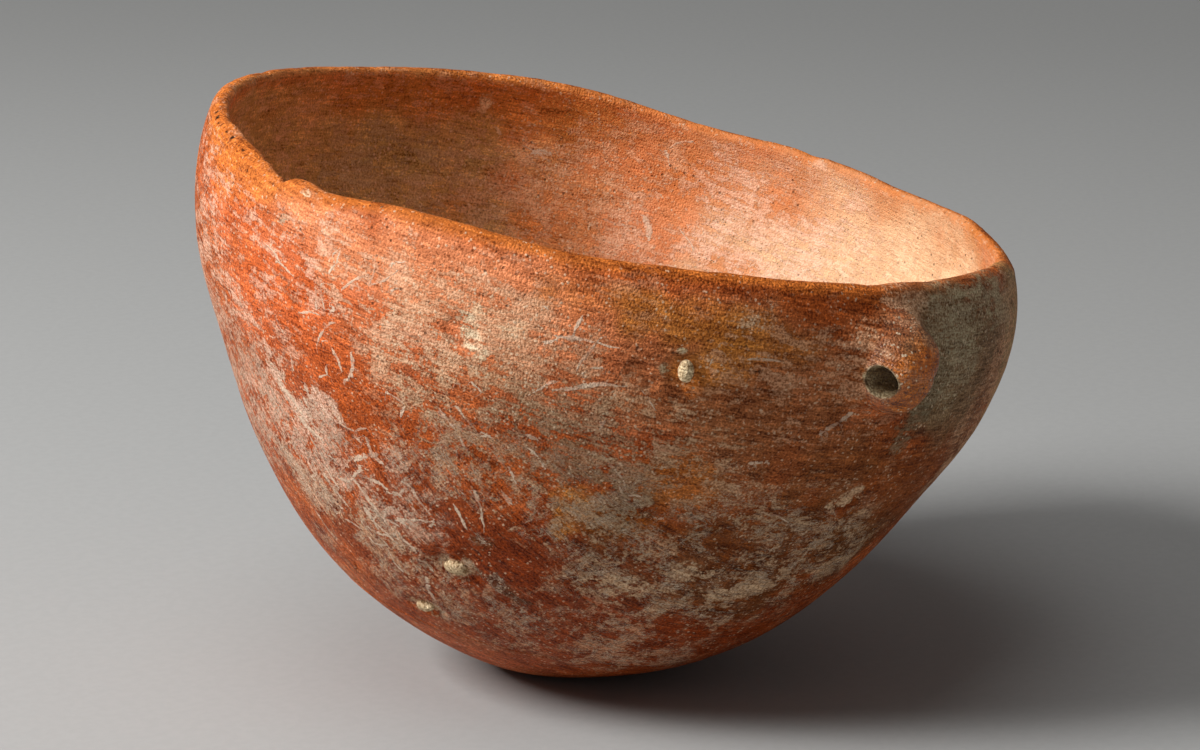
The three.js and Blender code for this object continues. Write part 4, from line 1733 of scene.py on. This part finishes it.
@dataclass(frozen=True)
class Grit:
    """A lime grit in the wall: where it lies, its size and how deep its middle is."""

    node: str
    azimuth: float
    angle: float
    size: tuple[float, float, float]
    depth: float
    seed: int

    def build(self, painter: Painter, material: bpy.types.Material) -> None:
        """Makes the stone: a sphere scaled to its size, roughened by noise and turned to the wall.

        Args:
            painter: who lays the colours on it.
            material: the lime's material.
        """
        rows, columns = 40, 56
        tilt = np.linspace(0, np.pi, rows + 1)[1:-1, None]
        turn = np.linspace(0, 2 * np.pi, columns, endpoint=False)[None, :]
        ball = np.stack([np.sin(tilt) * np.cos(turn), np.sin(tilt) * np.sin(turn),
                         np.cos(tilt) * np.ones_like(turn)], -1)
        ball = np.concatenate([ball[::-1].reshape(-1, 3), [[0, 0, -1], [0, 0, 1]]])
        lumps = 0.92 + 0.08 * Speckle(self.seed).at(ball, 0.55, 3)
        stone = ball * lumps[:, None] * np.array(self.size) / 2
        middle = FORM.place(np.array(self.azimuth), np.array(self.angle), np.array(self.depth))
        out = FORM.place(np.array(self.azimuth), np.array(self.angle), np.array(0.0)) - middle
        out /= np.linalg.norm(out)
        around = np.cross([0, 0, 1], out)
        around /= np.linalg.norm(around)
        points = middle + stone @ np.stack([around, np.cross(out, around), out])
        faces, fans = Piece.grid_faces(rows - 1, columns, False), Piece.end_fans(rows - 1, columns)
        piece = Piece.make(self.node, points, faces, None, fans)
        Piece.declare(piece, self.node, LIME, material, painter)


GRITS = (
    Grit("lime_grit_shoulder", -122, 82.5, (3.4, 5, 2.6), 0.7, 201),
    Grit("lime_grit_belly", -149, 42.5, (6, 4.2, 2.8), 0.9, 202),
    Grit("lime_grit_foot", -158.5, 31.5, (5, 3, 2.6), 0.8, 203),
)


@dataclass
class Studio:
    """The floor, the lamps, the world and the camera, placed from the picture's point of view."""

    camera_azimuth: float = -40
    camera_elevation: float = 14
    camera_distance: float = 0.8
    camera_lens: float = 114.3
    aim_right: float = -7.26
    aim_rise: float = -35.57
    floor_radius: float = 9.0
    floor_tone: tuple[float, float, float, float] = (0.47, 0.47, 0.46, 1)
    backdrop: tuple[float, float, float, float] = (0.5, 0.5, 0.49, 1)
    key_place: tuple[float, float, float] = (-1.12, -0.48, 1.02)
    key_size: float = 0.55
    key_power: float = 27.5
    fill_place: tuple[float, float, float] = (-0.3, -0.4, 1.55)
    fill_size: float = 0.9
    fill_power: float = 5.5
    world_strength: float = 0.11

    def _from_view(self, right: float, back: float, up: float) -> Vector:
        """A place given to the picture's right, away from the camera and up, in the row's axes.

        Args:
            right: metres to the picture's right.
            back: metres away from the camera.
            up: metres up.

        Returns:
            The position.
        """
        a = math.radians(self.camera_azimuth)
        x, y = right * math.cos(a) - back * math.sin(a), right * math.sin(a) + back * math.cos(a)
        return Vector((x, y, up))

    def camera(self) -> None:
        """The camera at the photograph's angle, aimed beside and below the bowl's centre."""
        data = bpy.data.cameras.new("camera")
        data.lens, data.sensor_width = self.camera_lens, 36
        camera = bpy.data.objects.new("camera", data)
        bpy.context.scene.collection.objects.link(camera)
        offset = self._from_view(self.aim_right, 0, self.aim_rise) * MILLIMETRE
        aim = Vector(FORM.centre() * MILLIMETRE) + offset
        e = math.radians(self.camera_elevation)
        back = self._from_view(0, -math.cos(e), math.sin(e))
        camera.location = aim + back * self.camera_distance
        camera.rotation_euler = (-back).to_track_quat("-Z", "Y").to_euler()
        bpy.context.scene.camera = camera

    def _lamp(self, name: str, place: tuple[float, float, float], size: float, power: float) -> None:
        """A soft square lamp that faces the bowl.

        Args:
            name: its name.
            place: where it hangs, as seen from the camera.
            size: its side in metres.
            power: its power in watts.
        """
        data = bpy.data.lights.new(name, "AREA")
        data.shape, data.size, data.energy = "SQUARE", size, power
        lamp = bpy.data.objects.new(name, data)
        bpy.context.scene.collection.objects.link(lamp)
        lamp.location = self._from_view(*place)
        aim = Vector((0, 0, 0.06)) - lamp.location
        lamp.rotation_euler = aim.to_track_quat("-Z", "Y").to_euler()

    def floor(self) -> None:
        """A round pale floor, which fades into the backdrop and lets the camera through from below."""
        count = 96
        turn = np.linspace(0, 2 * np.pi, count, endpoint=False)
        rim = np.stack([np.cos(turn), np.sin(turn), np.zeros(count)], -1) * self.floor_radius
        mesh = bpy.data.meshes.new("floor")
        mesh.from_pydata(rim.tolist(), [], [list(range(count))])
        floor = bpy.data.objects.new("floor", mesh)
        bpy.context.scene.collection.objects.link(floor)
        b = Bench(bpy.data.materials.new("floor_paper"))
        own = b.node("ShaderNodeTexCoord", {}, {}, "Object")
        fleck = b.noise(own, 400, 3, 0.6)
        tone = b.blend(fleck.step(0.35, 0.65), self.floor_tone, tuple(0.97 * c for c in self.floor_tone))
        paper = b.node("ShaderNodeBsdfPrincipled", {}, {"Base Color": tone, "Roughness": 0.9,
                                                        "Specular IOR Level": 0.2})
        away = b.node("ShaderNodeVectorMath", {"operation": "LENGTH"}, {0: own}, "Value")
        seen = b.node("ShaderNodeLightPath", {}, {}, "Is Camera Ray")
        haze = b.node("ShaderNodeEmission", {}, {"Color": self.backdrop})
        faded = b.node("ShaderNodeMixShader", {}, {0: away.step(0.8, 2.6) * seen, 1: paper, 2: haze})
        clear = b.node("ShaderNodeBsdfTransparent")
        behind = b.node("ShaderNodeNewGeometry", {}, {}, "Backfacing")
        both = b.node("ShaderNodeMixShader", {}, {0: behind, 1: faded, 2: clear})
        b.node("ShaderNodeOutputMaterial", {}, {"Surface": both})
        mesh.materials.append(b.holder)

    def world(self) -> None:
        """Even grey light from all round, and a pale colour where the camera sees past the floor."""
        b = Bench(bpy.data.worlds.new("studio"))
        path = b.node("ShaderNodeLightPath", {}, {}, "Is Camera Ray")
        light = b.node("ShaderNodeBackground", {}, {"Color": (1, 1, 1, 1), "Strength": self.world_strength})
        seen = b.node("ShaderNodeBackground", {}, {"Color": self.backdrop})
        both = b.node("ShaderNodeMixShader", {}, {0: path, 1: light, 2: seen})
        b.node("ShaderNodeOutputWorld", {}, {"Surface": both})
        bpy.context.scene.world = b.holder

    def build(self) -> None:
        """Sets up the whole studio."""
        self.camera()
        self.world()
        self.floor()
        self._lamp("key", self.key_place, self.key_size, self.key_power)
        self._lamp("fill", self.fill_place, self.fill_size, self.fill_power)
        bpy.context.scene.view_settings.view_transform = "Standard"


def main() -> None:
    """Builds the studio and the bowl, piece by piece."""
    logging.basicConfig(level=logging.INFO, format="%(name)s: %(message)s")
    Studio().build()
    painter = Painter()
    Wall().build(painter)
    Lug().build(painter)
    lime = LIME.material()
    for grit in GRITS:
        grit.build(painter, lime)


if __name__ == "__main__":
    main()
